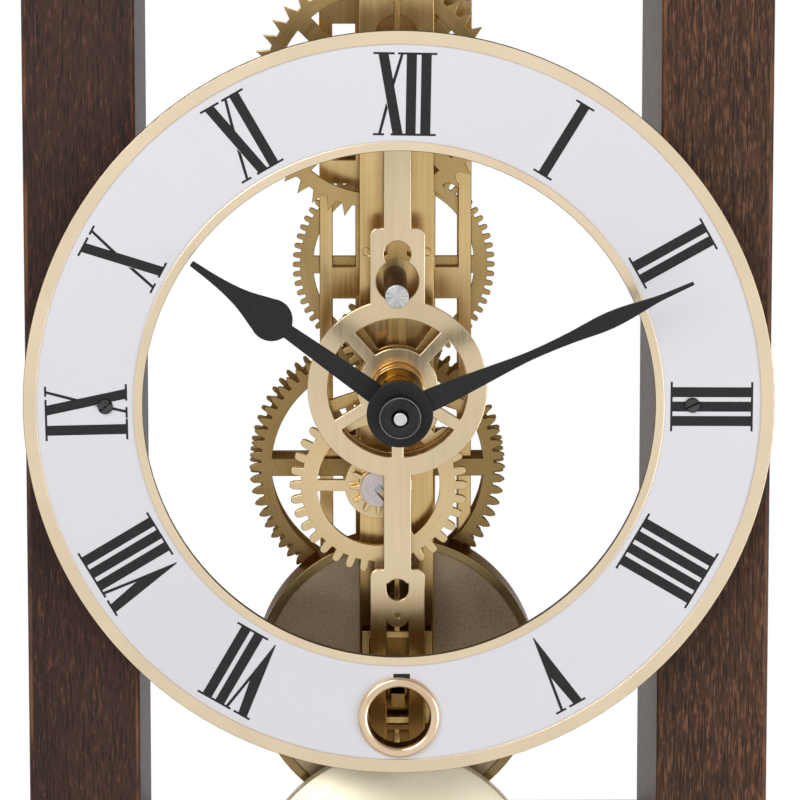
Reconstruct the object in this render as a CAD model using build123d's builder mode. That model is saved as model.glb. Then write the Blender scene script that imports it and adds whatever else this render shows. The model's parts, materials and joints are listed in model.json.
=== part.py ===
from build123d import *
import os
from math import asin, atan2, cos, hypot, pi, radians, sin

os.makedirs("parts", exist_ok=True)

# Skeleton pendulum wall clock, in millimetres.
# The origin is the middle of the hanging hole, on the wall. The wall is the plane Y = 0, the dial
# faces -Y and +Z is up. "out" is a distance from the wall. In the sketches x runs to the right and
# y runs up, both from the centre of the dial.

# Dial
dial_drop = 165.0
dial_radius = 90.0
dial_opening_radius = 61.4
dial_thickness = 1.5
dial_post_length = 8.5
dial_post_radius = 3.0
dial_screw_gap = 4.9
dial_screw_radius = 1.8
dial_screw_height = 0.8
dial_screw_shank = 1.0
bezel_thickness = 0.5
outer_bezel_width = 3.2
inner_bezel_width = 2.2
grommet_outer_gap = 0.7
grommet_inner_gap = 2.7
grommet_flange_width = 2.0
grommet_wall = 0.4
grommet_flange_height = 1.6
grommet_tube_length = 5.0

# Wooden case
rail_step = 1.6
rail_depth = 78.0
rail_top = 190.0
rail_drop = 270.0
rail_edge = 1.2
crosspiece_height = 14.0
crosspiece_depth = 50.0
crosspiece_out = 20.0
crosspiece_inset = 8.0
back_bar_height = 32.0
back_bar_thickness = 10.0
back_bar_centre = 134.0
hanger_width = 24.0
hanger_thickness = 2.0
hanger_margin = 7.0
hanger_hole_radius = 3.5

# Fits
running_fit = 0.05
end_play = 0.2

# Movement plates and the spaces between them
plate_thickness = 2.0
rear_space = 10.0
front_space = 18.0
wide_plate_half_width = 19.0
wide_plate_column = 3.3
wide_plate_web = 10.0
strip_half_width = 9.2
plate_top = 140.0
strip_bottom = -123.0
strip_arch = (80.0, 84.6)
strip_arch_half_width = 5.3
pillar_radius = 1.6
pillar_neck_radius = 1.0
upper_pillar = (6.0, 132.0)
lower_pillar_height = -117.5
front_pillar_inset = 1.9
front_pillar_height = 31.5
rear_pillar_heights = (95.0, -58.0)
wide_plate_windows = [(52.0, 86.0), (25.0, 46.0), (-18.0, 17.0), (-52.0, -28.0), (-108.0, -66.0)]
plate_screw_radius = 2.2
plate_screw_shank = 1.2
plate_screw_height = 1.2
plate_screw_length = 8.0
plate_screw_x = 13.0

# Axes of the movement
centre_axis = (0.0, 0.0)
drive_axis = (-4.6, -25.5)
third_axis = (-0.4, 25.2)
escape_axis = (-5.25, 69.8)
anchor_axis = (0.0, 120.0)

# Tooth counts
great_teeth = 45
drive_rear_teeth = 72
drive_front_teeth = 64
second_leaves = 8
second_teeth = 25
third_leaves = 10
third_teeth = 64
fourth_leaves = 10
fourth_teeth = 25
escape_leaves = 10
escape_teeth = 45
motion_teeth = 36
cannon_leaves = 9
motion_leaves = 12
hour_teeth = 36
ratchet_teeth = 20

# Tooth forms from root to tip: height over the pitch circle in modules, and width as a share of the pitch
wheel_form = ((-1.4, 0.58), (0.1, 0.54), (0.7, 0.42), (1.0, 0.24))
great_form = ((-1.4, 0.54), (0.1, 0.43), (0.75, 0.29), (1.0, 0.15))
leaf_form = ((-1.4, 0.34), (0.5, 0.22))
pointed_form = ((-1.7, 0.75), (-0.2, 0.6), (0.7, 0.34), (1.2, 0.1))
escape_lean = 0.3
ratchet_lean = 0.15
hooked_root_share = 0.35

# Wheels and arbors
wheel_thickness = 1.5
pinion_length = 2.5
arbor_radius = 1.5
pivot_radius = 0.8
wheel_hub = 7.0
wheel_rim = 4.4
wheel_spoke = 4.4
drive_front_radius = 31.0
drive_front_hub = 9.0
drive_front_thickness = 1.6
drive_front_gap = 0.8
second_wheel_gap = 7.0
third_wheel_gap = 2.5
fourth_wheel_gap = 2.5
escape_wheel_gap = 6.0
escape_rim_width = 3.5
third_radius = 24.6
escape_radius = 31.2
escape_tooth_depth = 3.1
drive_nose_radius = 1.0
post_radius = 2.84
post_end = 80.0

# Barrel and winding work
barrel_radius = 35.5
barrel_wall = 2.2
barrel_length = 13.8
barrel_floor = 1.6
barrel_cover_thickness = 1.4
barrel_cover_recess = 0.4
barrel_pipe_radius = 5.0
barrel_core_radius = 6.0
barrel_strip_gap = 0.8
mainspring_gap = 0.3
winding_radius = 2.5
winding_square = 3.4
winding_square_length = 11.0
winding_end = 70.0
ratchet_radius = 12.0
ratchet_depth = 1.8
ratchet_thickness = 2.0
ratchet_gap = 0.5
click_offset = (14.5, 9.5)
click_hub_radius = 3.0
click_nose_radius = 0.6
click_nose_reach = 13.2
click_nose_angle = 75.0
click_stud_radius = 1.5
click_spring_foot = (-2.0, 22.0)
click_spring_end = (8.6, 14.8)
click_spring_foot_radius = 1.6
click_spring_radius = 0.5

# Bridge, which carries the hub of the hands
bridge_space = 14.5
bridge_thickness = 1.5
bridge_ring_radius = 22.0
bridge_ring_width = 4.8
bridge_boss_radius = 9.9
bridge_spoke_width = 3.0
bridge_spokes = (48.0, 132.0, 212.0, 270.0, 328.0)
bridge_bar_half_width = 3.4
bridge_pad_half_width = 6.7
bridge_pad_bottom = 19.6
bridge_pad_top = 39.4
bridge_corner = 2.0
bridge_keyhole_radius = 3.35
bridge_keyhole_height = 33.0
bridge_lobe_radius = 5.2
bridge_lobe_height = 26.5
bridge_head_bottom = 68.0
bridge_head_top = 82.0
bridge_head_half_width = 9.0
bridge_head_post = (6.0, 76.0)
bridge_head_post_radius = 1.6
bridge_foot_top = -45.1
bridge_foot_bottom = -93.0
bridge_foot_flare_top = -87.0
bridge_foot_flare_half_width = 8.4
bridge_foot_post = (6.6, -90.0)
bridge_foot_post_radius = 1.4
bridge_slot_half_width = 2.7
bridge_window = (-50.2, -48.6)
bridge_slot = (-84.0, -57.0)
bridge_pin_boss_radius = 2.9
bridge_lower_slot = (-91.0, -85.4)
bridge_pin_hole_height = -56.7
bridge_pin_hole_radius = 0.6
bush_radius = 6.5
bush_groove_radius = 5.6
bush_band = 4.0
bush_groove = 1.2
bush_lip = 2.8
bush_rear = 1.0

# Motion work and hands
hour_pipe_radius = 4.5
centre_arbor_radius = 3.0
centre_tip_radius = 1.55
cannon_gap = 5.6
cannon_overhang = 0.4
cannon_front_gap = 0.3
motion_thickness = 2.0
motion_leaf_length = 3.0
motion_hub = 8.3
motion_rim = 5.6
motion_spoke = 2.8
motion_gap = 0.6
hour_wheel_thickness = 2.0
hour_rim = 2.6
hour_spoke = 3.0
hour_collet_radius = 6.0
hour_collet_gap = 2.0
hour_hand_seat = 5.0
hour_hand_hub = 7.4
hand_thickness = 1.0
hour_collet_lip = 0.5
hour_hand_angle = 90.0 - 305.8
hour_bulge_at = 37.5
hour_bulge_radius = 5.06
minute_hand_gap = 2.5
minute_hand_hub = 7.0
minute_hand_angle = 90.0 - 65.9
minute_collet_radius = 7.9
minute_collet_thickness = 1.2
minute_collet_sleeve = 3.5
hand_nut_radius = 5.0
hand_nut_height = 6.0
hand_nut_chamfer = 0.6
centre_tip_rise = 0.8
washer_radius = 4.4
washer_thickness = 2.0
washer_slot_angle = -50.0

# Outlines of the hands: distance from the axis, and half width there
hour_stem_form = ((0.0, 2.7), (20.0, 2.15), (hour_bulge_at, 1.5))
hour_leaf_form = (
    (hour_bulge_at, hour_bulge_radius),
    (41.1, 4.05),
    (44.9, 2.7),
    (48.7, 1.8),
    (52.5, 1.25),
    (56.3, 0.93),
    (60.8, 0.7),
)
minute_hand_form = (
    (0.0, 2.6),
    (18.0, 2.2),
    (26.0, 1.55),
    (33.0, 1.08),
    (39.0, 1.1),
    (46.0, 1.45),
    (54.3, 2.03),
    (58.2, 1.82),
    (62.0, 1.4),
    (65.8, 0.88),
    (69.5, 0.62),
    (76.2, 0.42),
)

# Escapement and pendulum
anchor_span = 38.0
anchor_hub_radius = 5.0
anchor_arm_radius = 1.6
anchor_elbow_reach = 7.0
anchor_nib_radius = 0.5
anchor_nib_gap = 0.9
crutch_gap = 0.7
crutch_thickness = 1.3
crutch_hub_radius = 3.0
crutch_half_width = 1.0
crutch_length = 25.0
crutch_fork_gap = 0.1
crutch_fork_width = 0.9
crutch_fork_half_height = 1.5
rod_gap = 3.4
rod_thickness = 1.2
rod_blade_half_width = 2.4
rod_half_width = 0.6
rod_blade_end = 4.0
rod_blade_top = 46.0
loop_radius = 5.4
loop_width = 1.2
spring_eye_radius = 2.6
spring_half_thickness = 0.2
spring_width = 2.0
clamp_drop = 12.0
clamp_height = 4.0
clamp_half_width = 2.8
clamp_depth = 2.4
suspension_pin_radius = 0.8
cock_half_width = 4.0
cock_wall = 2.4
cock_foot_height = 11.0
cock_foot_gap = 8.0
stirrup_top = -63.0
stirrup_bottom = -86.3
stirrup_half_width = 7.0
stirrup_bar = 1.6
bob_radius = 35.7
bob_drop = 249.0
bob_back_gap = 1.2
bob_rim = 4.0
bob_dome = 8.0
rod_tail = 11.0
rating_nut_radius = 4.0
rating_nut_height = 4.0

# Places worked out from the sizes above
silver_inner = dial_opening_radius + inner_bezel_width
silver_outer = dial_radius - outer_bezel_width
grommet_flange_radius = (silver_outer - silver_inner - grommet_outer_gap - grommet_inner_gap) / 2
grommet_tube_radius = grommet_flange_radius - grommet_flange_width
grommet_bore_radius = grommet_tube_radius - grommet_wall
barrel_axis = (0.0, grommet_outer_gap + grommet_flange_radius - silver_outer)
rail_inner = dial_opening_radius + rail_step
dial_out = rail_depth + dial_post_length
dial_front = dial_out + dial_thickness
dial_post_x = silver_inner + dial_screw_gap + dial_screw_radius
hour_collet_out = dial_front + hour_collet_gap
hour_hand_out = hour_collet_out + hour_hand_seat
hour_pipe_end = hour_hand_out + hand_thickness + hour_collet_lip
minute_hand_out = hour_pipe_end + minute_hand_gap
back_bar_out = hanger_thickness
rear_plate_out = back_bar_out + back_bar_thickness
rear_space_out = rear_plate_out + plate_thickness
middle_plate_out = rear_space_out + rear_space
front_space_out = middle_plate_out + plate_thickness
strip_out = front_space_out + front_space
strip_front = strip_out + plate_thickness
bridge_out = strip_front + bridge_space
bridge_front = bridge_out + bridge_thickness


def face(out):
    """Plane that faces the room, this far out from the wall, with its origin on the dial's axis."""
    return Plane(origin=(0, -out, -dial_drop), x_dir=(1, 0, 0), z_dir=(0, -1, 0))


def distance(start, end):
    """Distance between two axes."""
    return hypot(end[0] - start[0], end[1] - start[1])


def direction(start, end):
    """Direction from one axis to another, in radians from +x."""
    return atan2(end[1] - start[1], end[0] - start[0])


def beside(axis, angle, reach):
    """Point at a direction in radians and a distance from an axis."""
    return (axis[0] + reach * cos(angle), axis[1] + reach * sin(angle))


def pitch_radius(start, end, teeth, other_teeth):
    """Pitch radius of the gear on the first of two axes that mesh."""
    return distance(start, end) * teeth / (teeth + other_teeth)


def mesh_turn(turn, teeth, other_teeth, line):
    """Turn of a gear whose gap meets the tooth of its neighbour along the line of their centres."""
    lead = (line - turn) * teeth / (2 * pi)
    return line + pi - (0.5 - lead) * 2 * pi / other_teeth


def tooth_points(axis, teeth, radius, form, turn):
    """Corners of a gear outline, up one flank of each tooth and down the other."""
    module = 2 * radius / teeth
    flank = []
    for height, share in form:
        reach = radius + height * module
        flank.append((reach, share * pi * module / 2 / reach))
    points = []
    for tooth in range(teeth):
        middle = turn + tooth * 2 * pi / teeth
        for reach, half_angle in flank:
            points.append(beside(axis, middle - half_angle, reach))
        for reach, half_angle in reversed(flank):
            points.append(beside(axis, middle + half_angle, reach))
    return points


def hooked_points(axis, teeth, tip_radius, depth, lean, turn):
    """Corners of a wheel with pointed teeth that lean to one side, as on an escape or ratchet wheel."""
    pitch = 2 * pi / teeth
    points = []
    for tooth in range(teeth):
        middle = turn + tooth * pitch
        points.append(beside(axis, middle, tip_radius))
        points.append(beside(axis, middle + lean * pitch, tip_radius - depth))
        points.append(beside(axis, middle + (lean + hooked_root_share) * pitch, tip_radius - depth))
    return points


def draw_outline(points):
    """Fill a closed outline in the sketch being drawn."""
    with BuildLine(Plane.XY, mode=Mode.PRIVATE) as outline:
        Polyline(*points, close=True)
    make_face(outline.edges())


def even_angles(count, start):
    """Angles of spokes at equal steps round a wheel."""
    return [start + index * 360 / count for index in range(count)]


def cut_windows(axis, hub_radius, rim_radius, spoke_width, spoke_angles):
    """Cut the windows between the spokes of a wheel from the sketch being drawn."""
    with BuildSketch(Plane.XY, mode=Mode.PRIVATE) as windows:
        with Locations(axis):
            Circle(rim_radius)
            Circle(hub_radius, mode=Mode.SUBTRACT)
        for angle in spoke_angles:
            with Locations(Location((*axis, 0), angle)):
                reach = rim_radius + spoke_width
                Rectangle(reach, spoke_width, align=(Align.MIN, Align.CENTER), mode=Mode.SUBTRACT)
    add(windows.sketch, mode=Mode.SUBTRACT)


def cut_hole(axis, radius):
    """Cut a round hole from the sketch being drawn."""
    with Locations(axis):
        Circle(radius, mode=Mode.SUBTRACT)


def draw_disc(out, axis, radius, length):
    """Add a round bar that starts this far out and runs towards the room."""
    with BuildSketch(face(out), mode=Mode.PRIVATE) as disc:
        with Locations(axis):
            Circle(radius)
    extrude(disc.sketch, amount=length)


def draw_bar(x_range, y_range, mode=Mode.ADD):
    """Rectangle between two x values and two heights in the sketch being drawn."""
    with Locations(((x_range[0] + x_range[1]) / 2, (y_range[0] + y_range[1]) / 2)):
        Rectangle(x_range[1] - x_range[0], y_range[1] - y_range[0], mode=mode)


def draw_link(start, start_radius, end, end_radius):
    """Tapered link with round ends, added to the sketch being drawn."""
    with BuildSketch(Plane.XY, mode=Mode.PRIVATE) as link:
        with Locations(start):
            Circle(start_radius)
        with Locations(end):
            Circle(end_radius)
        make_hull()
    add(link.sketch)


# Two upright walnut rails carry everything else.
with BuildPart() as left_rail:
    with BuildSketch(face(0)):
        draw_bar((-dial_radius, -rail_inner), (-rail_drop, rail_top))
    extrude(amount=rail_depth)
    fillet(left_rail.edges().filter_by(Axis.Z), rail_edge)
left_rail.part.label = "left_rail"
export_step(left_rail.part, "parts/left_rail.step")

with BuildPart() as right_rail:
    with BuildSketch(face(0)):
        draw_bar((rail_inner, dial_radius), (-rail_drop, rail_top))
    extrude(amount=rail_depth)
    fillet(right_rail.edges().filter_by(Axis.Z), rail_edge)
right_rail.part.label = "right_rail"
export_step(right_rail.part, "parts/right_rail.step")

# Wooden crosspieces close the case at the top and the foot.
with BuildPart() as top_crosspiece:
    with BuildSketch(face(crosspiece_out)):
        top_edge = rail_top - crosspiece_inset
        draw_bar((-rail_inner, rail_inner), (top_edge - crosspiece_height, top_edge))
    extrude(amount=crosspiece_depth)
top_crosspiece.part.label = "top_crosspiece"
export_step(top_crosspiece.part, "parts/top_crosspiece.step")

with BuildPart() as bottom_crosspiece:
    with BuildSketch(face(crosspiece_out)):
        foot_edge = crosspiece_inset - rail_drop
        draw_bar((-rail_inner, rail_inner), (foot_edge, foot_edge + crosspiece_height))
    extrude(amount=crosspiece_depth)
bottom_crosspiece.part.label = "bottom_crosspiece"
export_step(bottom_crosspiece.part, "parts/bottom_crosspiece.step")

# Back bars join the rails behind the movement and take its four screws.
screw_places = [(side * plate_screw_x, back_bar_centre) for side in (-1, 1)]
lower_screw_places = [(x, -height) for x, height in screw_places]

with BuildPart() as upper_back_bar:
    with BuildSketch(face(back_bar_out)):
        with Locations((0, back_bar_centre)):
            Rectangle(2 * rail_inner, back_bar_height)
    extrude(amount=back_bar_thickness)
    with BuildSketch(face(rear_plate_out)):
        with Locations(*screw_places):
            Circle(plate_screw_shank)
    extrude(amount=plate_thickness - plate_screw_length, mode=Mode.SUBTRACT)
upper_back_bar.part.label = "upper_back_bar"
export_step(upper_back_bar.part, "parts/upper_back_bar.step")

with BuildPart() as lower_back_bar:
    with BuildSketch(face(back_bar_out)):
        with Locations((0, -back_bar_centre)):
            Rectangle(2 * rail_inner, back_bar_height)
    extrude(amount=back_bar_thickness)
    with BuildSketch(face(rear_plate_out)):
        with Locations(*lower_screw_places):
            Circle(plate_screw_shank)
    extrude(amount=plate_thickness - plate_screw_length, mode=Mode.SUBTRACT)
lower_back_bar.part.label = "lower_back_bar"
export_step(lower_back_bar.part, "parts/lower_back_bar.step")

# Steel hanger on the back of the upper bar, with the hole for the wall hook.
with BuildPart() as hanger_plate:
    with BuildSketch(face(0)):
        hanger_bottom = back_bar_centre - back_bar_height / 4
        draw_bar((-hanger_width / 2, hanger_width / 2), (hanger_bottom, dial_drop + hanger_margin))
        cut_hole((0, dial_drop), hanger_hole_radius)
    extrude(amount=hanger_thickness)
hanger_plate.part.label = "hanger_plate"
export_step(hanger_plate.part, "parts/hanger_plate.step")

# Dial: chapter ring on two posts, with a gold band at each edge and a grommet for the winding key.
post_places = [(-dial_post_x, 0), (dial_post_x, 0)]

with BuildPart() as dial_posts:
    with BuildSketch(face(rail_depth)):
        with Locations(*post_places):
            Circle(dial_post_radius)
            Circle(dial_screw_shank, mode=Mode.SUBTRACT)
    extrude(amount=dial_post_length)
dial_posts.part.label = "dial_posts"
export_step(dial_posts.part, "parts/dial_posts.step")

with BuildPart() as dial_plate:
    with BuildSketch(face(dial_out)):
        Circle(dial_radius)
        Circle(dial_opening_radius, mode=Mode.SUBTRACT)
        cut_hole(barrel_axis, grommet_tube_radius)
        with Locations(*post_places):
            Circle(dial_screw_shank, mode=Mode.SUBTRACT)
    extrude(amount=dial_thickness)
dial_plate.part.label = "dial_plate"
export_step(dial_plate.part, "parts/dial_plate.step")

with BuildPart() as outer_bezel:
    with BuildSketch(face(dial_front)):
        Circle(dial_radius)
        Circle(dial_radius - outer_bezel_width, mode=Mode.SUBTRACT)
    extrude(amount=bezel_thickness)
outer_bezel.part.label = "outer_bezel"
export_step(outer_bezel.part, "parts/outer_bezel.step")

with BuildPart() as inner_bezel:
    with BuildSketch(face(dial_front)):
        Circle(dial_opening_radius + inner_bezel_width)
        Circle(dial_opening_radius, mode=Mode.SUBTRACT)
    extrude(amount=bezel_thickness)
inner_bezel.part.label = "inner_bezel"
export_step(inner_bezel.part, "parts/inner_bezel.step")

with BuildPart() as winding_grommet:
    draw_disc(dial_front, barrel_axis, grommet_flange_radius, grommet_flange_height)
    flange_edge = winding_grommet.faces().sort_by(Axis.Y)[0].edges()
    chamfer(flange_edge, grommet_flange_height / 2)
    draw_disc(dial_front, barrel_axis, grommet_tube_radius, -grommet_tube_length)
    with BuildSketch(face(dial_front - grommet_tube_length)):
        with Locations(barrel_axis):
            Circle(grommet_bore_radius)
    extrude(amount=grommet_tube_length + grommet_flange_height, mode=Mode.SUBTRACT)
winding_grommet.part.label = "winding_grommet"
export_step(winding_grommet.part, "parts/winding_grommet.step")

with BuildPart() as dial_screws:
    with BuildSketch(face(dial_front)):
        with Locations(*post_places):
            Circle(dial_screw_radius)
    extrude(amount=dial_screw_height)
    with BuildSketch(face(rail_depth)):
        with Locations(*post_places):
            Circle(dial_screw_shank)
    extrude(amount=dial_front - rail_depth)
dial_screws.part.label = "dial_screws"
export_step(dial_screws.part, "parts/dial_screws.step")

# Axes that lie on the lines between the larger wheels
second_reach = drive_front_radius * (1 + second_leaves / drive_front_teeth)
second_axis = beside(drive_axis, direction(drive_axis, third_axis), second_reach)
fourth_reach = third_radius * (1 + fourth_leaves / third_teeth)
fourth_axis = beside(third_axis, direction(third_axis, escape_axis), fourth_reach)
click_axis = (barrel_axis[0] + click_offset[0], barrel_axis[1] + click_offset[1])

# Movement plates: a rear and a middle plate with slotted side columns, and a narrow strip in front.
column_x = wide_plate_half_width - wide_plate_column / 2
front_pillar_x = strip_half_width - front_pillar_inset
through_pillars = [(-upper_pillar[0], upper_pillar[1]), upper_pillar, (0, lower_pillar_height)]
front_pillars = [(-front_pillar_x, front_pillar_height), (front_pillar_x, front_pillar_height)]
rear_pillars = [(side * column_x, height) for side in (-1, 1) for height in rear_pillar_heights]


def draw_wide_plate(bottom):
    """Outline of a rear or middle plate with its windows, in the sketch being drawn."""
    draw_bar((-wide_plate_half_width, wide_plate_half_width), (bottom, plate_top))
    for window in wide_plate_windows:
        for side in (-1, 1):
            edges = sorted((side * wide_plate_web, side * (wide_plate_half_width - wide_plate_column)))
            draw_bar(edges, window, mode=Mode.SUBTRACT)


with BuildPart() as rear_plate:
    with BuildSketch(face(rear_plate_out)):
        draw_wide_plate(-plate_top)
        cut_hole(barrel_axis, winding_radius + running_fit)
        for axis in (drive_axis, third_axis, fourth_axis, escape_axis):
            cut_hole(axis, pivot_radius + running_fit)
        for place in through_pillars + rear_pillars:
            cut_hole(place, pillar_neck_radius)
        for place in screw_places + lower_screw_places:
            cut_hole(place, plate_screw_shank)
    extrude(amount=plate_thickness)
    draw_disc(rear_plate_out, click_axis, click_stud_radius, -ratchet_thickness - ratchet_gap)
rear_plate.part.label = "rear_plate"
export_step(rear_plate.part, "parts/rear_plate.step")

with BuildPart() as middle_plate:
    with BuildSketch(face(middle_plate_out)):
        draw_wide_plate(strip_bottom)
        cut_hole(barrel_axis, barrel_pipe_radius + running_fit)
        for axis in (drive_axis, third_axis, escape_axis):
            cut_hole(axis, arbor_radius + running_fit)
        for axis in (second_axis, fourth_axis, anchor_axis):
            cut_hole(axis, pivot_radius + running_fit)
        for place in through_pillars + front_pillars + rear_pillars:
            cut_hole(place, pillar_neck_radius)
    extrude(amount=plate_thickness)
middle_plate.part.label = "middle_plate"
export_step(middle_plate.part, "parts/middle_plate.step")

with BuildPart() as front_plate:
    with BuildSketch(face(strip_out)):
        draw_bar((-strip_half_width, strip_half_width), (strip_bottom, plate_top))
        draw_bar((-strip_arch_half_width, strip_arch_half_width), strip_arch, mode=Mode.SUBTRACT)
        cut_hole((0, strip_arch[1]), strip_arch_half_width)
        cut_hole(barrel_axis, winding_radius + running_fit)
        cut_hole(drive_axis, drive_nose_radius + running_fit)
        for axis in (third_axis, anchor_axis):
            cut_hole(axis, arbor_radius + running_fit)
        for axis in (second_axis, escape_axis):
            cut_hole(axis, pivot_radius + running_fit)
        for place in through_pillars + front_pillars:
            cut_hole(place, pillar_neck_radius)
    extrude(amount=plate_thickness)
front_plate.part.label = "front_plate"
export_step(front_plate.part, "parts/front_plate.step")

# Pillars space the plates, with a neck riveted through each plate.
with BuildPart() as pillars:
    with BuildSketch(face(rear_plate_out)):
        with Locations(*through_pillars):
            Circle(pillar_neck_radius)
    extrude(amount=strip_front - rear_plate_out)
    with BuildSketch(face(rear_plate_out)):
        with Locations(*rear_pillars):
            Circle(pillar_neck_radius)
    extrude(amount=front_space_out - rear_plate_out)
    with BuildSketch(face(middle_plate_out)):
        with Locations(*front_pillars):
            Circle(pillar_neck_radius)
    extrude(amount=strip_front - middle_plate_out)
    with BuildSketch(face(rear_space_out)):
        with Locations(*(through_pillars + rear_pillars)):
            Circle(pillar_radius)
    extrude(amount=rear_space)
    with BuildSketch(face(front_space_out)):
        with Locations(*(through_pillars + front_pillars)):
            Circle(pillar_radius)
    extrude(amount=front_space)
pillars.part.label = "pillars"
export_step(pillars.part, "parts/pillars.step")

# Four screws hold the rear plate to the back bars.
with BuildPart() as movement_screws:
    with BuildSketch(face(rear_space_out)):
        with Locations(*(screw_places + lower_screw_places)):
            Circle(plate_screw_radius)
    extrude(amount=plate_screw_height)
    with BuildSketch(face(rear_space_out)):
        with Locations(*(screw_places + lower_screw_places)):
            Circle(plate_screw_shank)
    extrude(amount=-plate_screw_length)
movement_screws.part.label = "movement_screws"
export_step(movement_screws.part, "parts/movement_screws.step")

# Bridge in front of the strip: one pierced brass plate on four posts.
head_posts = [(side * bridge_head_post[0], bridge_head_post[1]) for side in (-1, 1)]
foot_posts = [(side * bridge_foot_post[0], bridge_foot_post[1]) for side in (-1, 1)]
ring_inner_radius = bridge_ring_radius - bridge_ring_width

with BuildPart() as bridge:
    with BuildSketch(face(bridge_out)):
        draw_bar((-bridge_bar_half_width, bridge_bar_half_width), (bridge_pad_top, bridge_head_bottom))
        draw_bar((-bridge_head_half_width, bridge_head_half_width), (bridge_head_bottom, bridge_head_top))
        draw_bar((-bridge_pad_half_width, bridge_pad_half_width), (bridge_pad_bottom, bridge_pad_top))
        draw_bar((-bridge_bar_half_width, bridge_bar_half_width), (bridge_foot_top, -ring_inner_radius))
        draw_bar((-bridge_pad_half_width, bridge_pad_half_width), (bridge_foot_bottom, bridge_foot_top))
        flare = (-bridge_foot_flare_half_width, bridge_foot_flare_half_width)
        draw_bar(flare, (bridge_foot_bottom, bridge_foot_flare_top))
        Circle(bridge_ring_radius)
        cut_windows(centre_axis, bridge_boss_radius, ring_inner_radius, bridge_spoke_width, bridge_spokes)
        cut_hole(centre_axis, bush_radius)
        cut_hole((0, bridge_keyhole_height), bridge_keyhole_radius)
        cut_hole((0, bridge_lobe_height), bridge_lobe_radius)
        slot = (-bridge_slot_half_width, bridge_slot_half_width)
        for opening in (bridge_window, bridge_slot, bridge_lower_slot):
            draw_bar(slot, opening, mode=Mode.SUBTRACT)
        cut_hole((0, bridge_window[0]), bridge_slot_half_width)
        with Locations((0, bridge_pin_hole_height)):
            Circle(bridge_pin_boss_radius)
        cut_hole((0, bridge_pin_hole_height), bridge_pin_hole_radius)
    extrude(amount=bridge_thickness)
    upright = bridge.edges().filter_by(Axis.Y)
    corner_heights = (bridge_pad_top - dial_drop, bridge_foot_top - dial_drop)
    outer_corners = upright.filter_by(
        lambda edge: abs(edge.center().X) > bridge_pad_half_width - bridge_corner
        and min(abs(edge.center().Z - height) for height in corner_heights) < running_fit
    )
    fillet(outer_corners, bridge_corner)
bridge.part.label = "bridge"
export_step(bridge.part, "parts/bridge.step")

with BuildPart() as bridge_posts:
    with BuildSketch(face(strip_front)):
        with Locations(*head_posts):
            Circle(bridge_head_post_radius)
        with Locations(*foot_posts):
            Circle(bridge_foot_post_radius)
    extrude(amount=bridge_space)
bridge_posts.part.label = "bridge_posts"
export_step(bridge_posts.part, "parts/bridge_posts.step")

# Turned bush in the bridge, in which the hour pipe runs.
with BuildPart() as hub_bush:
    bush_front = bush_band + bush_groove + bush_lip
    draw_disc(bridge_out - bush_rear, centre_axis, bush_radius, bush_rear + bridge_thickness + bush_band)
    draw_disc(bridge_front + bush_band, centre_axis, bush_groove_radius, bush_groove)
    draw_disc(bridge_front + bush_band + bush_groove, centre_axis, bush_radius, bush_lip)
    with BuildSketch(face(bridge_out - bush_rear)):
        Circle(hour_pipe_radius + running_fit)
    extrude(amount=bush_rear + bridge_thickness + bush_front, mode=Mode.SUBTRACT)
hub_bush.part.label = "hub_bush"
export_step(hub_bush.part, "parts/hub_bush.step")

# Turns of the wheels at rest, so that each tooth stands in a gap of its neighbour.
great_radius = pitch_radius(barrel_axis, drive_axis, great_teeth, drive_rear_teeth)
drive_rear_radius = pitch_radius(drive_axis, barrel_axis, drive_rear_teeth, great_teeth)
second_leaf_radius = second_reach - drive_front_radius
second_radius = pitch_radius(second_axis, third_axis, second_teeth, third_leaves)
third_leaf_radius = pitch_radius(third_axis, second_axis, third_leaves, second_teeth)
fourth_leaf_radius = fourth_reach - third_radius
fourth_radius = pitch_radius(fourth_axis, escape_axis, fourth_teeth, escape_leaves)
escape_leaf_radius = pitch_radius(escape_axis, fourth_axis, escape_leaves, fourth_teeth)
motion_radius = pitch_radius(drive_axis, centre_axis, motion_teeth, cannon_leaves)
cannon_radius = pitch_radius(centre_axis, drive_axis, cannon_leaves, motion_teeth)
motion_leaf_radius = pitch_radius(drive_axis, centre_axis, motion_leaves, hour_teeth)
hour_radius = pitch_radius(centre_axis, drive_axis, hour_teeth, motion_leaves)

to_barrel = direction(drive_axis, barrel_axis)
to_third = direction(drive_axis, third_axis)
to_escape = direction(third_axis, escape_axis)
to_centre = direction(drive_axis, centre_axis)
great_turn = mesh_turn(0, drive_rear_teeth, great_teeth, to_barrel)
second_leaf_turn = mesh_turn(0, drive_front_teeth, second_leaves, to_third)
third_leaf_turn = mesh_turn(0, second_teeth, third_leaves, to_third)
fourth_leaf_turn = mesh_turn(0, third_teeth, fourth_leaves, to_escape)
escape_leaf_turn = mesh_turn(0, fourth_teeth, escape_leaves, to_escape)
cannon_turn = mesh_turn(0, motion_teeth, cannon_leaves, to_centre)
hour_turn = mesh_turn(0, motion_leaves, hour_teeth, to_centre)

# Barrel: a drum with a rear pipe that carries the great wheel behind the middle plate.
barrel_front = strip_out - barrel_strip_gap
barrel_out = barrel_front - barrel_length
barrel_inner_radius = barrel_radius - barrel_wall
cover_out = barrel_front - barrel_cover_recess - barrel_cover_thickness
great_out = rear_space_out + wheel_thickness
pipe_out = rear_space_out + end_play

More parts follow.
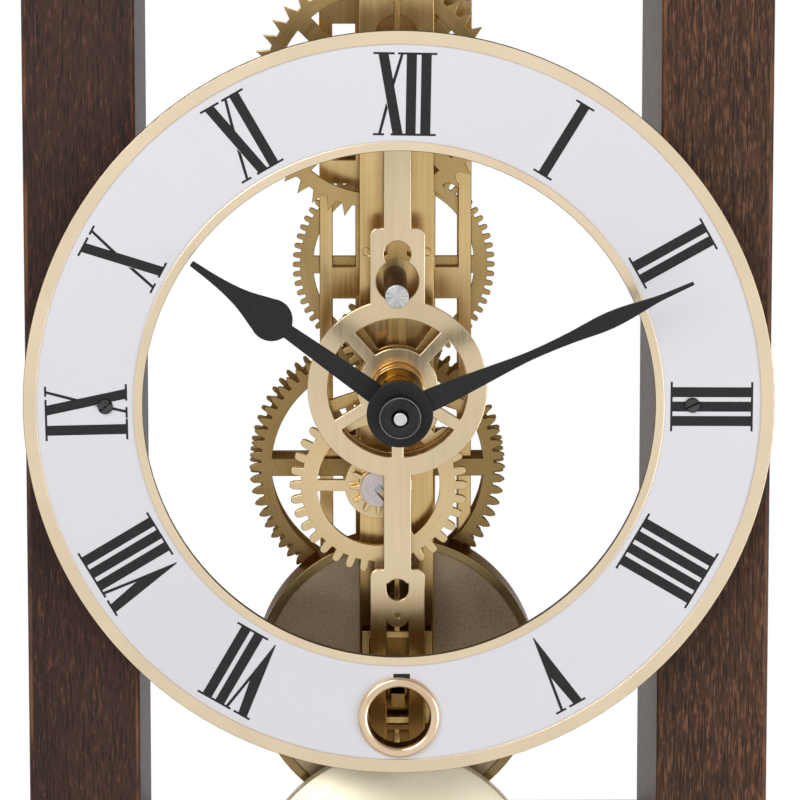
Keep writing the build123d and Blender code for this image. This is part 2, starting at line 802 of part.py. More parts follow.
with BuildPart() as barrel_drum:
    draw_disc(barrel_out, barrel_axis, barrel_radius, barrel_length)
    with BuildSketch(face(barrel_out + barrel_floor)):
        with Locations(barrel_axis):
            Circle(barrel_inner_radius)
    extrude(amount=barrel_length - barrel_floor, mode=Mode.SUBTRACT)
    draw_disc(pipe_out, barrel_axis, barrel_pipe_radius, barrel_out - pipe_out)
    with BuildSketch(face(pipe_out)):
        with Locations(barrel_axis):
            Circle(winding_radius + running_fit)
    extrude(amount=barrel_out + barrel_floor - pipe_out, mode=Mode.SUBTRACT)
barrel_drum.part.label = "barrel_drum"
export_step(barrel_drum.part, "parts/barrel_drum.step")

with BuildPart() as barrel_cover:
    with BuildSketch(face(cover_out)):
        with Locations(barrel_axis):
            Circle(barrel_inner_radius)
            Circle(winding_radius + running_fit, mode=Mode.SUBTRACT)
    extrude(amount=barrel_cover_thickness)
barrel_cover.part.label = "barrel_cover"
export_step(barrel_cover.part, "parts/barrel_cover.step")

spring_out = barrel_out + barrel_floor + mainspring_gap
spring_length = cover_out - mainspring_gap - spring_out

with BuildPart() as mainspring:
    with BuildSketch(face(spring_out)):
        with Locations(barrel_axis):
            Circle(barrel_inner_radius)
            Circle(barrel_core_radius + mainspring_gap, mode=Mode.SUBTRACT)
    extrude(amount=spring_length)
mainspring.part.label = "mainspring"
export_step(mainspring.part, "parts/mainspring.step")

with BuildPart() as great_wheel:
    with BuildSketch(face(great_out)):
        draw_outline(tooth_points(barrel_axis, great_teeth, great_radius, great_form, great_turn))
        cut_hole(barrel_axis, barrel_pipe_radius)
    extrude(amount=wheel_thickness)
great_wheel.part.label = "great_wheel"
export_step(great_wheel.part, "parts/great_wheel.step")

# Winding arbor with its square, and the ratchet behind the rear plate.
ratchet_out = rear_plate_out - ratchet_gap - ratchet_thickness
winding_back = ratchet_out - ratchet_gap

with BuildPart() as winding_arbor:
    round_length = winding_end - winding_square_length - winding_back
    draw_disc(winding_back, barrel_axis, winding_radius, round_length)
    draw_disc(spring_out, barrel_axis, barrel_core_radius, spring_length)
    with BuildSketch(face(winding_back + round_length)):
        with Locations(barrel_axis):
            Rectangle(winding_square, winding_square)
    extrude(amount=winding_square_length)
winding_arbor.part.label = "winding_arbor"
export_step(winding_arbor.part, "parts/winding_arbor.step")

with BuildPart() as ratchet_wheel:
    teeth = hooked_points(barrel_axis, ratchet_teeth, ratchet_radius, ratchet_depth, ratchet_lean, 0)
    with BuildSketch(face(ratchet_out)):
        draw_outline(teeth)
        cut_hole(barrel_axis, winding_radius)
    extrude(amount=ratchet_thickness)
ratchet_wheel.part.label = "ratchet_wheel"
export_step(ratchet_wheel.part, "parts/ratchet_wheel.step")

with BuildPart() as click:
    with BuildSketch(face(ratchet_out)):
        click_nose = beside(barrel_axis, radians(click_nose_angle), click_nose_reach)
        draw_link(click_axis, click_hub_radius, click_nose, click_nose_radius)
        cut_hole(click_axis, click_stud_radius + running_fit)
    extrude(amount=ratchet_thickness)
click.part.label = "click"
export_step(click.part, "parts/click.step")

with BuildPart() as click_spring:
    spring_foot = (barrel_axis[0] + click_spring_foot[0], barrel_axis[1] + click_spring_foot[1])
    spring_tip = (barrel_axis[0] + click_spring_end[0], barrel_axis[1] + click_spring_end[1])
    draw_disc(ratchet_out, spring_foot, click_spring_foot_radius, ratchet_thickness + ratchet_gap)
    with BuildSketch(face(ratchet_out)):
        draw_link(spring_foot, click_spring_foot_radius, spring_tip, click_spring_radius)
    extrude(amount=ratchet_thickness)
click_spring.part.label = "click_spring"
export_step(click_spring.part, "parts/click_spring.step")

# Drive arbor: two wheels between the plates, and the motion wheel in front of the strip.
cannon_out = strip_front + cannon_gap
motion_out = cannon_out + cannon_overhang
washer_out = motion_out + motion_thickness + motion_leaf_length
hour_wheel_out = motion_out + motion_thickness + motion_gap
drive_front_out = front_space_out + drive_front_gap

with BuildPart() as drive_arbor:
    draw_disc(rear_plate_out, drive_axis, pivot_radius, plate_thickness + end_play)
    body_out = rear_space_out + end_play
    draw_disc(body_out, drive_axis, arbor_radius, strip_out - end_play - body_out)
    nose_length = washer_out + washer_thickness - strip_out + end_play
    draw_disc(strip_out - end_play, drive_axis, drive_nose_radius, nose_length)
drive_arbor.part.label = "drive_arbor"
export_step(drive_arbor.part, "parts/drive_arbor.step")

with BuildPart() as drive_wheel_rear:
    with BuildSketch(face(great_out)):
        draw_outline(tooth_points(drive_axis, drive_rear_teeth, drive_rear_radius, great_form, 0))
        cut_windows(drive_axis, wheel_hub, drive_rear_radius - wheel_rim, wheel_spoke, even_angles(4, 0))
        cut_hole(drive_axis, arbor_radius)
    extrude(amount=wheel_thickness)
drive_wheel_rear.part.label = "drive_wheel_rear"
export_step(drive_wheel_rear.part, "parts/drive_wheel_rear.step")

with BuildPart() as drive_wheel_front:
    with BuildSketch(face(drive_front_out)):
        draw_outline(tooth_points(drive_axis, drive_front_teeth, drive_front_radius, pointed_form, 0))
        rim_inside = drive_front_radius - wheel_rim
        cut_windows(drive_axis, drive_front_hub, rim_inside, wheel_spoke, even_angles(4, 0))
        cut_hole(drive_axis, arbor_radius)
    extrude(amount=drive_front_thickness)
drive_wheel_front.part.label = "drive_wheel_front"
export_step(drive_wheel_front.part, "parts/drive_wheel_front.step")

with BuildPart() as motion_wheel:
    with BuildSketch(face(motion_out)):
        draw_outline(tooth_points(drive_axis, motion_teeth, motion_radius, wheel_form, 0))
        cut_windows(drive_axis, motion_hub, motion_radius - motion_rim, motion_spoke, even_angles(3, 60))
    extrude(amount=motion_thickness)
    with BuildSketch(face(motion_out + motion_thickness)):
        draw_outline(tooth_points(drive_axis, motion_leaves, motion_leaf_radius, leaf_form, 0))
    extrude(amount=motion_leaf_length)
    with BuildSketch(face(motion_out)):
        with Locations(drive_axis):
            Circle(drive_nose_radius)
    extrude(amount=motion_thickness + motion_leaf_length, mode=Mode.SUBTRACT)
motion_wheel.part.label = "motion_wheel"
export_step(motion_wheel.part, "parts/motion_wheel.step")

with BuildPart() as friction_washer:
    with BuildSketch(face(washer_out)):
        with Locations(drive_axis):
            Circle(washer_radius)
            Circle(drive_nose_radius, mode=Mode.SUBTRACT)
        with Locations(Location((*drive_axis, 0), washer_slot_angle)):
            slot_width = 2 * drive_nose_radius
            Rectangle(washer_radius, slot_width, align=(Align.MIN, Align.CENTER), mode=Mode.SUBTRACT)
    extrude(amount=washer_thickness)
friction_washer.part.label = "friction_washer"
export_step(friction_washer.part, "parts/friction_washer.step")

# Second arbor between the middle plate and the strip.
second_wheel_out = front_space_out + second_wheel_gap

with BuildPart() as second_arbor:
    draw_disc(middle_plate_out, second_axis, pivot_radius, strip_front - middle_plate_out)
    draw_disc(front_space_out + end_play, second_axis, arbor_radius, front_space - 2 * end_play)
    leaves = tooth_points(second_axis, second_leaves, second_leaf_radius, leaf_form, second_leaf_turn)
    with BuildSketch(face(drive_front_out - end_play)):
        draw_outline(leaves)
    extrude(amount=drive_front_thickness + 2 * end_play)
second_arbor.part.label = "second_arbor"
export_step(second_arbor.part, "parts/second_arbor.step")

with BuildPart() as second_wheel:
    with BuildSketch(face(second_wheel_out)):
        draw_outline(tooth_points(second_axis, second_teeth, second_radius, wheel_form, 0))
        cut_hole(second_axis, arbor_radius)
    extrude(amount=wheel_thickness)
second_wheel.part.label = "second_wheel"
export_step(second_wheel.part, "parts/second_wheel.step")

# Third arbor: its pinion, its wheel behind the middle plate and the polished post in front.
third_wheel_out = middle_plate_out - third_wheel_gap
pinion_overhang = (pinion_length - wheel_thickness) / 2

with BuildPart() as third_arbor:
    draw_disc(rear_plate_out, third_axis, pivot_radius, plate_thickness + end_play)
    draw_disc(rear_space_out + end_play, third_axis, arbor_radius, strip_front - rear_space_out)
    leaves = tooth_points(third_axis, third_leaves, third_leaf_radius, leaf_form, third_leaf_turn)
    with BuildSketch(face(second_wheel_out - pinion_overhang)):
        draw_outline(leaves)
    extrude(amount=pinion_length)
    draw_disc(strip_front + end_play, third_axis, post_radius, post_end - strip_front - end_play)
third_arbor.part.label = "third_arbor"
export_step(third_arbor.part, "parts/third_arbor.step")

with BuildPart() as third_wheel:
    with BuildSketch(face(third_wheel_out)):
        draw_outline(tooth_points(third_axis, third_teeth, third_radius, wheel_form, 0))
        cut_windows(third_axis, wheel_hub, third_radius - wheel_rim, wheel_spoke, even_angles(4, 0))
        cut_hole(third_axis, arbor_radius)
    extrude(amount=wheel_thickness)
third_wheel.part.label = "third_wheel"
export_step(third_wheel.part, "parts/third_wheel.step")

# Fourth arbor between the rear and middle plates.
fourth_wheel_out = rear_space_out + fourth_wheel_gap

with BuildPart() as fourth_arbor:
    draw_disc(rear_plate_out, fourth_axis, pivot_radius, front_space_out - rear_plate_out)
    draw_disc(rear_space_out + end_play, fourth_axis, arbor_radius, rear_space - 2 * end_play)
    leaves = tooth_points(fourth_axis, fourth_leaves, fourth_leaf_radius, leaf_form, fourth_leaf_turn)
    with BuildSketch(face(third_wheel_out - pinion_overhang)):
        draw_outline(leaves)
    extrude(amount=pinion_length)
fourth_arbor.part.label = "fourth_arbor"
export_step(fourth_arbor.part, "parts/fourth_arbor.step")

with BuildPart() as fourth_wheel:
    with BuildSketch(face(fourth_wheel_out)):
        draw_outline(tooth_points(fourth_axis, fourth_teeth, fourth_radius, wheel_form, 0))
        cut_hole(fourth_axis, arbor_radius)
    extrude(amount=wheel_thickness)
fourth_wheel.part.label = "fourth_wheel"
export_step(fourth_wheel.part, "parts/fourth_wheel.step")

# Escape arbor and its wheel of long pointed teeth.
escape_wheel_out = strip_out - escape_wheel_gap

with BuildPart() as escape_arbor:
    draw_disc(rear_plate_out, escape_axis, pivot_radius, strip_front - rear_plate_out)
    body_out = rear_space_out + end_play
    draw_disc(body_out, escape_axis, arbor_radius, strip_out - end_play - body_out)
    leaves = tooth_points(escape_axis, escape_leaves, escape_leaf_radius, leaf_form, escape_leaf_turn)
    with BuildSketch(face(fourth_wheel_out - pinion_overhang)):
        draw_outline(leaves)
    extrude(amount=pinion_length)
escape_arbor.part.label = "escape_arbor"
export_step(escape_arbor.part, "parts/escape_arbor.step")

with BuildPart() as escape_wheel:
    teeth = hooked_points(escape_axis, escape_teeth, escape_radius, escape_tooth_depth, escape_lean, 0)
    with BuildSketch(face(escape_wheel_out)):
        draw_outline(teeth)
        escape_rim = escape_radius - escape_tooth_depth - escape_rim_width
        cut_windows(escape_axis, wheel_hub, escape_rim, wheel_spoke, even_angles(4, 45))
        cut_hole(escape_axis, arbor_radius)
    extrude(amount=wheel_thickness)
escape_wheel.part.label = "escape_wheel"
export_step(escape_wheel.part, "parts/escape_wheel.step")

# Anchor over the escape wheel, its arbor and the crutch that guides the pendulum.
rod_out = strip_front + rod_gap
crutch_out = strip_front + crutch_gap

with BuildPart() as anchor:
    with BuildSketch(face(escape_wheel_out)):
        with Locations(anchor_axis):
            Circle(anchor_hub_radius)
        for side in (-1, 1):
            pallet_angle = direction(escape_axis, anchor_axis) + side * radians(anchor_span)
            elbow = beside(escape_axis, pallet_angle, escape_radius + anchor_elbow_reach)
            nib_reach = escape_radius + anchor_nib_gap + anchor_nib_radius
            nib = beside(escape_axis, pallet_angle, nib_reach)
            draw_link(anchor_axis, 2 * anchor_arm_radius, elbow, anchor_arm_radius)
            draw_link(elbow, anchor_arm_radius, nib, anchor_nib_radius)
        cut_hole(anchor_axis, arbor_radius)
    extrude(amount=wheel_thickness)
anchor.part.label = "anchor"
export_step(anchor.part, "parts/anchor.step")

with BuildPart() as anchor_arbor:
    draw_disc(middle_plate_out, anchor_axis, pivot_radius, plate_thickness + end_play)
    body_out = front_space_out + end_play
    draw_disc(body_out, anchor_axis, arbor_radius, crutch_out + crutch_thickness - body_out)
anchor_arbor.part.label = "anchor_arbor"
export_step(anchor_arbor.part, "parts/anchor_arbor.step")

with BuildPart() as crutch:
    fork_height = anchor_axis[1] - crutch_length
    with BuildSketch(face(crutch_out)):
        with Locations(anchor_axis):
            Circle(crutch_hub_radius)
        draw_bar((-crutch_half_width, crutch_half_width), (fork_height, anchor_axis[1]))
        fork_reach = rod_half_width + crutch_fork_gap + crutch_fork_width
        fork_range = (fork_height - crutch_fork_half_height, fork_height + crutch_fork_half_height)
        draw_bar((-fork_reach, fork_reach), fork_range)
        cut_hole(anchor_axis, arbor_radius)
    extrude(amount=crutch_thickness)
    with BuildSketch(face(crutch_out + crutch_thickness)):
        for side in (-1, 1):
            prong = sorted((side * (rod_half_width + crutch_fork_gap), side * fork_reach))
            draw_bar(prong, fork_range)
    extrude(amount=rod_out + rod_thickness - crutch_out - crutch_thickness)
crutch.part.label = "crutch"
export_step(crutch.part, "parts/crutch.step")

# Suspension: a cock on the strip with the pin that the pendulum hangs from.
rod_middle = rod_out + rod_thickness / 2
clamp_top = anchor_axis[1] - clamp_drop
cock_front = rod_middle + clamp_depth

with BuildPart() as suspension_cock:
    side_plane = Plane(origin=(0, 0, -dial_drop), x_dir=(0, -1, 0), z_dir=(-1, 0, 0))
    foot_bottom = anchor_axis[1] + cock_foot_gap
    foot_top = foot_bottom + cock_foot_height
    pin_bottom = anchor_axis[1] - 2 * cock_wall
    with BuildSketch(side_plane):
        draw_bar((strip_front, strip_front + cock_wall), (foot_bottom, foot_top))
        draw_bar((strip_front, cock_front + cock_wall), (foot_top - cock_wall, foot_top))
        draw_bar((cock_front, cock_front + cock_wall), (pin_bottom, foot_top))
    extrude(amount=cock_half_width, both=True)
    draw_disc(cock_front, anchor_axis, suspension_pin_radius, rod_out - cock_front - end_play)
suspension_cock.part.label = "suspension_cock"
export_step(suspension_cock.part, "parts/suspension_cock.step")

with BuildPart() as suspension_spring:
    with BuildSketch(face(rod_out)):
        with Locations(anchor_axis):
            Circle(spring_eye_radius)
    extrude(amount=rod_thickness)
    with BuildSketch(face(rod_middle - spring_width / 2)):
        draw_bar((-spring_half_thickness, spring_half_thickness), (clamp_top, anchor_axis[1]))
    extrude(amount=spring_width)
    with BuildSketch(face(rod_middle - clamp_depth / 2)):
        draw_bar((-clamp_half_width, clamp_half_width), (clamp_top - clamp_height, clamp_top))
    extrude(amount=clamp_depth)
    with BuildSketch(face(rod_middle - spring_width)):
        with Locations(anchor_axis):
            Circle(suspension_pin_radius + running_fit)
    extrude(amount=2 * spring_width, mode=Mode.SUBTRACT)
suspension_spring.part.label = "suspension_spring"
export_step(suspension_spring.part, "parts/suspension_spring.step")

# Pendulum rod: a flat blade with an eye round the post, narrowing behind the hub.
with BuildPart() as pendulum_rod:
    with BuildSketch(face(rod_out)):
        draw_bar((-rod_blade_half_width, rod_blade_half_width), (rod_blade_end, rod_blade_top))
        draw_bar((-rod_half_width, rod_half_width), (stirrup_top, rod_blade_end))
        draw_bar((-rod_half_width, rod_half_width), (rod_blade_top, clamp_top - clamp_height))
        with Locations((0, third_axis[1])):
            Circle(loop_radius + loop_width)
            Circle(loop_radius, mode=Mode.SUBTRACT)
    extrude(amount=rod_thickness)
pendulum_rod.part.label = "pendulum_rod"
export_step(pendulum_rod.part, "parts/pendulum_rod.step")

# Stirrup that takes the rod round the winding arbor, and the tail that carries the bob.
bob_height = anchor_axis[1] - bob_drop
tail_end = bob_height - bob_radius - rod_tail

with BuildPart() as stirrup:
    with BuildSketch(face(rod_out)):
        outer = stirrup_half_width + stirrup_bar
        draw_bar((-outer, outer), (stirrup_bottom, stirrup_top))
        inside = (stirrup_bottom + stirrup_bar, stirrup_top - stirrup_bar)
        draw_bar((-stirrup_half_width, stirrup_half_width), inside, mode=Mode.SUBTRACT)
        draw_bar((-rod_half_width, rod_half_width), (tail_end, stirrup_bottom))
    extrude(amount=rod_thickness)
stirrup.part.label = "stirrup"
export_step(stirrup.part, "parts/stirrup.step")

# Domed bob, which slides on the tail and rests on the rating nut.
bob_out = strip_front + bob_back_gap
bob_depth = bob_rim + bob_dome

with BuildPart() as bob:
    with BuildSketch(Plane(origin=(0, 0, bob_height - dial_drop), x_dir=(1, 0, 0), z_dir=(0, 0, 1))):
        with BuildLine():
            dome_radius = (bob_radius**2 + bob_dome**2) / (2 * bob_dome)
            half_angle = asin(bob_radius / dome_radius) / 2
            crown = (0, -bob_out - bob_depth)
            rim_edge = (bob_radius, -bob_out - bob_rim)
            dome_middle = (dome_radius * sin(half_angle), crown[1] + dome_radius * (1 - cos(half_angle)))
            Polyline(crown, (0, -bob_out), (bob_radius, -bob_out), rim_edge)
            ThreePointArc(rim_edge, dome_middle, crown)
        make_face()
    revolve(axis=Axis((0, 0, bob_height - dial_drop), (0, 1, 0)))
    with BuildSketch(face(rod_out - running_fit)):
        bore = rod_half_width + running_fit
        bore_reach = bob_radius + bob_rim
        draw_bar((-bore, bore), (bob_height - bore_reach, bob_height + bore_reach))
    extrude(amount=rod_thickness + 2 * running_fit, mode=Mode.SUBTRACT)
bob.part.label = "bob"
export_step(bob.part, "parts/bob.step")

with BuildPart() as rating_nut:
    nut_top = bob_height - bob_radius - end_play
    nut_plane = Plane(origin=(0, -rod_middle, nut_top - dial_drop), x_dir=(1, 0, 0), z_dir=(0, 0, -1))
    with BuildSketch(nut_plane):
        Circle(rating_nut_radius)
        Rectangle(2 * bore, rod_thickness + 2 * running_fit, mode=Mode.SUBTRACT)
    extrude(amount=rating_nut_height)
rating_nut.part.label = "rating_nut"
export_step(rating_nut.part, "parts/rating_nut.step")

# Minute work: cannon pinion and centre arbor, which runs inside the hour pipe.
cannon_length = hour_wheel_out - cannon_front_gap - cannon_out
minute_disc_out = minute_hand_out + hand_thickness
nut_out = minute_disc_out + minute_collet_thickness

with BuildPart() as cannon_pinion:
    with BuildSketch(face(cannon_out)):
        draw_outline(tooth_points(centre_axis, cannon_leaves, cannon_radius, leaf_form, cannon_turn))
        cut_hole(centre_axis, centre_arbor_radius)
    extrude(amount=cannon_length)
cannon_pinion.part.label = "cannon_pinion"
export_step(cannon_pinion.part, "parts/cannon_pinion.step")

with BuildPart() as centre_arbor:
    shoulder = minute_hand_out - end_play
    draw_disc(cannon_out, centre_axis, centre_arbor_radius, shoulder - cannon_out)
    tip_length = nut_out + hand_nut_height + centre_tip_rise - shoulder
    draw_disc(shoulder, centre_axis, centre_tip_radius, tip_length)
centre_arbor.part.label = "centre_arbor"
export_step(centre_arbor.part, "parts/centre_arbor.step")

# Hour work: the hour wheel with its pipe, and the collet that grips the hour hand.

with BuildPart() as hour_wheel:
    with BuildSketch(face(hour_wheel_out)):
        draw_outline(tooth_points(centre_axis, hour_teeth, hour_radius, wheel_form, hour_turn))
        rim_inside = hour_radius - hour_rim
        cut_windows(centre_axis, bridge_boss_radius, rim_inside, hour_spoke, even_angles(5, 54))
    extrude(amount=hour_wheel_thickness)
    draw_disc(hour_wheel_out, centre_axis, hour_pipe_radius, hour_pipe_end - hour_wheel_out)
    with BuildSketch(face(hour_wheel_out)):
        Circle(centre_arbor_radius + running_fit)
    extrude(amount=hour_pipe_end - hour_wheel_out, mode=Mode.SUBTRACT)
hour_wheel.part.label = "hour_wheel"
export_step(hour_wheel.part, "parts/hour_wheel.step")

with BuildPart() as hour_collet:
    with BuildSketch(face(hour_collet_out)):
        Circle(hour_collet_radius)
        Circle(hour_pipe_radius, mode=Mode.SUBTRACT)
    extrude(amount=hour_pipe_end - hour_collet_out)
hour_collet.part.label = "hour_collet"
export_step(hour_collet.part, "parts/hour_collet.step")


def draw_leaf(stations, angle):
    """Part of a hand that points at an angle, from its half-widths along its length."""
    turned = radians(angle)
    sides = []
    for side in (-1, 1):
        points = []
        for along, half in stations:
            reach = side * half
            x = along * cos(turned) - reach * sin(turned)
            y = along * sin(turned) + reach * cos(turned)
            points.append((x, y))
        sides.append(points)
    with BuildLine(Plane.XY, mode=Mode.PRIVATE) as outline:
        for points in sides:
            Spline(*points)
        Line(sides[0][0], sides[1][0])
        Line(sides[0][-1], sides[1][-1])
    make_face(outline.edges())


with BuildPart() as hour_hand:
    with BuildSketch(face(hour_hand_out)):
        draw_leaf(hour_stem_form, hour_hand_angle)
        draw_leaf(hour_leaf_form, hour_hand_angle)
        with Locations(beside(centre_axis, radians(hour_hand_angle), hour_bulge_at)):
            Circle(hour_bulge_radius)
        Circle(hour_hand_hub)
        Circle(hour_collet_radius, mode=Mode.SUBTRACT)
    extrude(amount=hand_thickness)
hour_hand.part.label = "hour_hand"
export_step(hour_hand.part, "parts/hour_hand.step")

with BuildPart() as minute_hand:
    with BuildSketch(face(minute_hand_out)):
        draw_leaf(minute_hand_form, minute_hand_angle)
        Circle(minute_hand_hub)
        Circle(minute_collet_sleeve, mode=Mode.SUBTRACT)
    extrude(amount=hand_thickness)
minute_hand.part.label = "minute_hand"
export_step(minute_hand.part, "parts/minute_hand.step")

with BuildPart() as minute_collet:
    draw_disc(shoulder, centre_axis, minute_collet_sleeve, minute_disc_out - shoulder)
    draw_disc(minute_disc_out, centre_axis, minute_collet_radius, minute_collet_thickness)
    with BuildSketch(face(shoulder)):
        Circle(centre_tip_radius)
    extrude(amount=nut_out - shoulder, mode=Mode.SUBTRACT)
minute_collet.part.label = "minute_collet"
export_step(minute_collet.part, "parts/minute_collet.step")

with BuildPart() as hand_nut:
    draw_disc(nut_out, centre_axis, hand_nut_radius, hand_nut_height)
    nut_rim = hand_nut.faces().sort_by(Axis.Y)[0].edges()
    chamfer(nut_rim, hand_nut_chamfer)
    with BuildSketch(face(nut_out)):
        Circle(centre_tip_radius)
    extrude(amount=hand_nut_height, mode=Mode.SUBTRACT)
hand_nut.part.label = "hand_nut"
export_step(hand_nut.part, "parts/hand_nut.step")
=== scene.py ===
# Skeleton pendulum wall clock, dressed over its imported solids. Metres, wall at y = 0, dial faces -y.
import json
import math

import bmesh
import bpy
from mathutils import Matrix, Vector


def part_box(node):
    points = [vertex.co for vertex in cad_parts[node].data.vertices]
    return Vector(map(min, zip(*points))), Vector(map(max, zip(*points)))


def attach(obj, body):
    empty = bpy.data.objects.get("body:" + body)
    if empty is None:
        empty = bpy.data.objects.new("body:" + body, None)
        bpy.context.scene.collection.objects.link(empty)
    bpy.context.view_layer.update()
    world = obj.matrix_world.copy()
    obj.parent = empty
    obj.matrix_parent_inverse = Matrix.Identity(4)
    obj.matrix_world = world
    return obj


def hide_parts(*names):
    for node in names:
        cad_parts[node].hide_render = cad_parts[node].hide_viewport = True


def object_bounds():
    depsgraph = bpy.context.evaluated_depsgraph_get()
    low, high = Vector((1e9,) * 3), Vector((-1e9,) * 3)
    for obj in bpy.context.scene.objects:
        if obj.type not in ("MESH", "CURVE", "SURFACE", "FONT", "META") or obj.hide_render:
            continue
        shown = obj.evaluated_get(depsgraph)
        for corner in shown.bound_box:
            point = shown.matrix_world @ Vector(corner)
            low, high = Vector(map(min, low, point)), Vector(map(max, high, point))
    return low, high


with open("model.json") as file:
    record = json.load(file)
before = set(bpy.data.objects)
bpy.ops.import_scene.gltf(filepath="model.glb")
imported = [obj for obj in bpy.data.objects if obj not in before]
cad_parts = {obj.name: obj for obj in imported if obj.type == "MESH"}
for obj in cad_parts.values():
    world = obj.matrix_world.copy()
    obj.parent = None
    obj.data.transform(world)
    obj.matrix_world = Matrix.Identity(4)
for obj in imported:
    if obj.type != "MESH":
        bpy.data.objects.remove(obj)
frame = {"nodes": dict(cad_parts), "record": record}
nodes = frame["nodes"]
cad_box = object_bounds()

# Rails: two upright boards of dark walnut that carry the whole clock, planed, rounded at the edges and
# rubbed with satin lacquer. The grain runs up the boards, in short reddish flecks between open pores.
LEFT_RAIL_TONES = ((44, 28, 23), (66, 42, 34))
LEFT_RAIL_FLECK = (98, 63, 48)
RIGHT_RAIL_TONES = ((50, 32, 22), (80, 51, 35))
RIGHT_RAIL_FLECK = (114, 78, 54)
WORN_TONE = (128, 84, 56)
PORE_TONE = (30, 20, 17)
LEFT_RAIL_SPARSE = 0.49
RIGHT_RAIL_SPARSE = 0.4
FIGURE_SCALE = 38.0
FIBRE_SCALE = 2600.0
THREAD_SCALE = 2800.0
BREAK_SCALE = 900.0
RUB_SCALE = 90.0
RAIL_EDGE = 0.0012
ALONG_X = 0
ALONG_Z = 2


class Wire:
    """One output of a node tree. Sums on it add Math nodes, and make() adds any other node."""

    def __init__(self, tree, socket):
        self.tree = tree
        self.socket = socket

    def make(self, kind, settings, sockets, output=0):
        node = self.tree.nodes.new(kind)
        for name, value in settings.items():
            setattr(node, name, value)
        for name, value in sockets.items():
            if isinstance(value, Wire):
                self.tree.links.new(value.socket, node.inputs[name])
            else:
                node.inputs[name].default_value = value
        if not node.outputs:
            return None
        return Wire(self.tree, node.outputs[output])

    def sum(self, operation, first, second):
        return self.make("ShaderNodeMath", {"operation": operation}, {0: first, 1: second})

    def __add__(self, other):
        return self.sum("ADD", self, other)

    def __sub__(self, other):
        return self.sum("SUBTRACT", self, other)

    def __rsub__(self, other):
        return self.sum("SUBTRACT", other, self)

    def __mul__(self, other):
        return self.sum("MULTIPLY", self, other)

    def __truediv__(self, other):
        return self.sum("DIVIDE", self, other)

    def __abs__(self):
        return self.make("ShaderNodeMath", {"operation": "ABSOLUTE"}, {0: self})

    def __pow__(self, other):
        return self.sum("POWER", self, other)


def shade(red, green, blue):
    """A colour as it is read off a picture, turned into the linear values that shaders take."""
    linear = []
    for level in (red, green, blue):
        share = level / 255.0
        linear.append(share / 12.92 if share <= 0.04045 else ((share + 0.055) / 1.055) ** 2.4)
    return (*linear, 1.0)


def new_finish(name):
    """An empty material, with the Object coordinates that its patterns read."""
    material = bpy.data.materials.new(name)
    material.use_nodes = True
    material.node_tree.nodes.clear()
    coordinates = material.node_tree.nodes.new("ShaderNodeTexCoord")
    return material, Wire(material.node_tree, coordinates.outputs["Object"])


def close_finish(place, sockets):
    """The Principled shader that a finish ends in."""
    surface = place.make("ShaderNodeBsdfPrincipled", {}, sockets)
    place.make("ShaderNodeOutputMaterial", {}, {"Surface": surface})


def drawn_out(along, share):
    """The stretch of a pattern that is drawn out along one axis."""
    stretch = [1.0, 1.0, 1.0]
    stretch[along] = share
    return stretch


def grains(place, scale, stretch=(1.0, 1.0, 1.0), detail=2.0, waver=0.0):
    """Noise from 0 to 1, stretched into streaks, grain or brush marks, that may waver sideways."""
    drawn = place.make("ShaderNodeMapping", {}, {"Vector": place, "Scale": stretch})
    return place.make("ShaderNodeTexNoise", {}, {
        "Vector": drawn, "Scale": scale, "Detail": detail, "Distortion": waver,
    })


def step(mask, low, high):
    """A mask stretched so that low becomes 0 and high becomes 1."""
    return mask.make(
        "ShaderNodeMapRange",
        {"interpolation_type": "SMOOTHSTEP"},
        {"Value": mask, "From Min": low, "From Max": high},
    )


def tint(mask, first, second):
    """The first colour where the mask is 0 and the second where it is 1."""
    return mask.make("ShaderNodeMix", {"data_type": "RGBA"}, {0: mask, 6: first, 7: second}, output=2)


def relief(height, strength, depth):
    """A bump from a height mask, to feed a shader's Normal."""
    return height.make("ShaderNodeBump", {}, {"Height": height, "Strength": strength, "Distance": depth})


def walnut(name, tones, fleck_tone, along, sparse, arrises=(), front=0.0):
    """Lacquered walnut: wavy light threads beside dark pores along one axis, worn at its front arrises."""
    material, place = new_finish(name)
    figure = step(grains(place, FIGURE_SCALE, drawn_out(along, 0.06), 4.0, 0.6), 0.34, 0.68)
    fibre = step(grains(place, FIBRE_SCALE, drawn_out(along, 0.22), 3.0, 0.6), 0.34, 0.66)
    thread = grains(place, THREAD_SCALE, drawn_out(along, 0.065), 1.0, 0.9)
    broken = step(grains(place, BREAK_SCALE, drawn_out(along, 0.4), 2.0), sparse, sparse + 0.14)
    flecks = step(thread, 0.53, 0.63) * broken
    pores = 1 - step(thread, 0.38, 0.46)
    wood = tint(figure * 0.5 + fibre * 0.5, shade(*tones[0]), shade(*tones[1]))
    wood = tint(pores * 0.8, wood, shade(*PORE_TONE))
    wood = tint(flecks * 0.75, wood, shade(*fleck_tone))
    parts = place.make("ShaderNodeSeparateXYZ", {}, {"Vector": place})
    near_front = 1 - step(Wire(place.tree, parts.socket.node.outputs["Y"]), front, front + RAIL_EDGE)
    rubbed = step(grains(place, RUB_SCALE, drawn_out(along, 0.4), 4.0), 0.4, 0.62)
    for arris in arrises:
        on_arris = (1 - step(abs(parts - arris), RAIL_EDGE * 0.15, RAIL_EDGE * 0.5)) * near_front
        wood = tint(on_arris * rubbed * 0.75, wood, shade(*WORN_TONE))
    close_finish(place, {
        "Base Color": wood,
        "Roughness": fibre * 0.12 + 0.42,
        "Specular IOR Level": 0.2,
        "Normal": relief(fibre * 0.5 + flecks - pores, 0.16, 0.0003),
    })
    return material


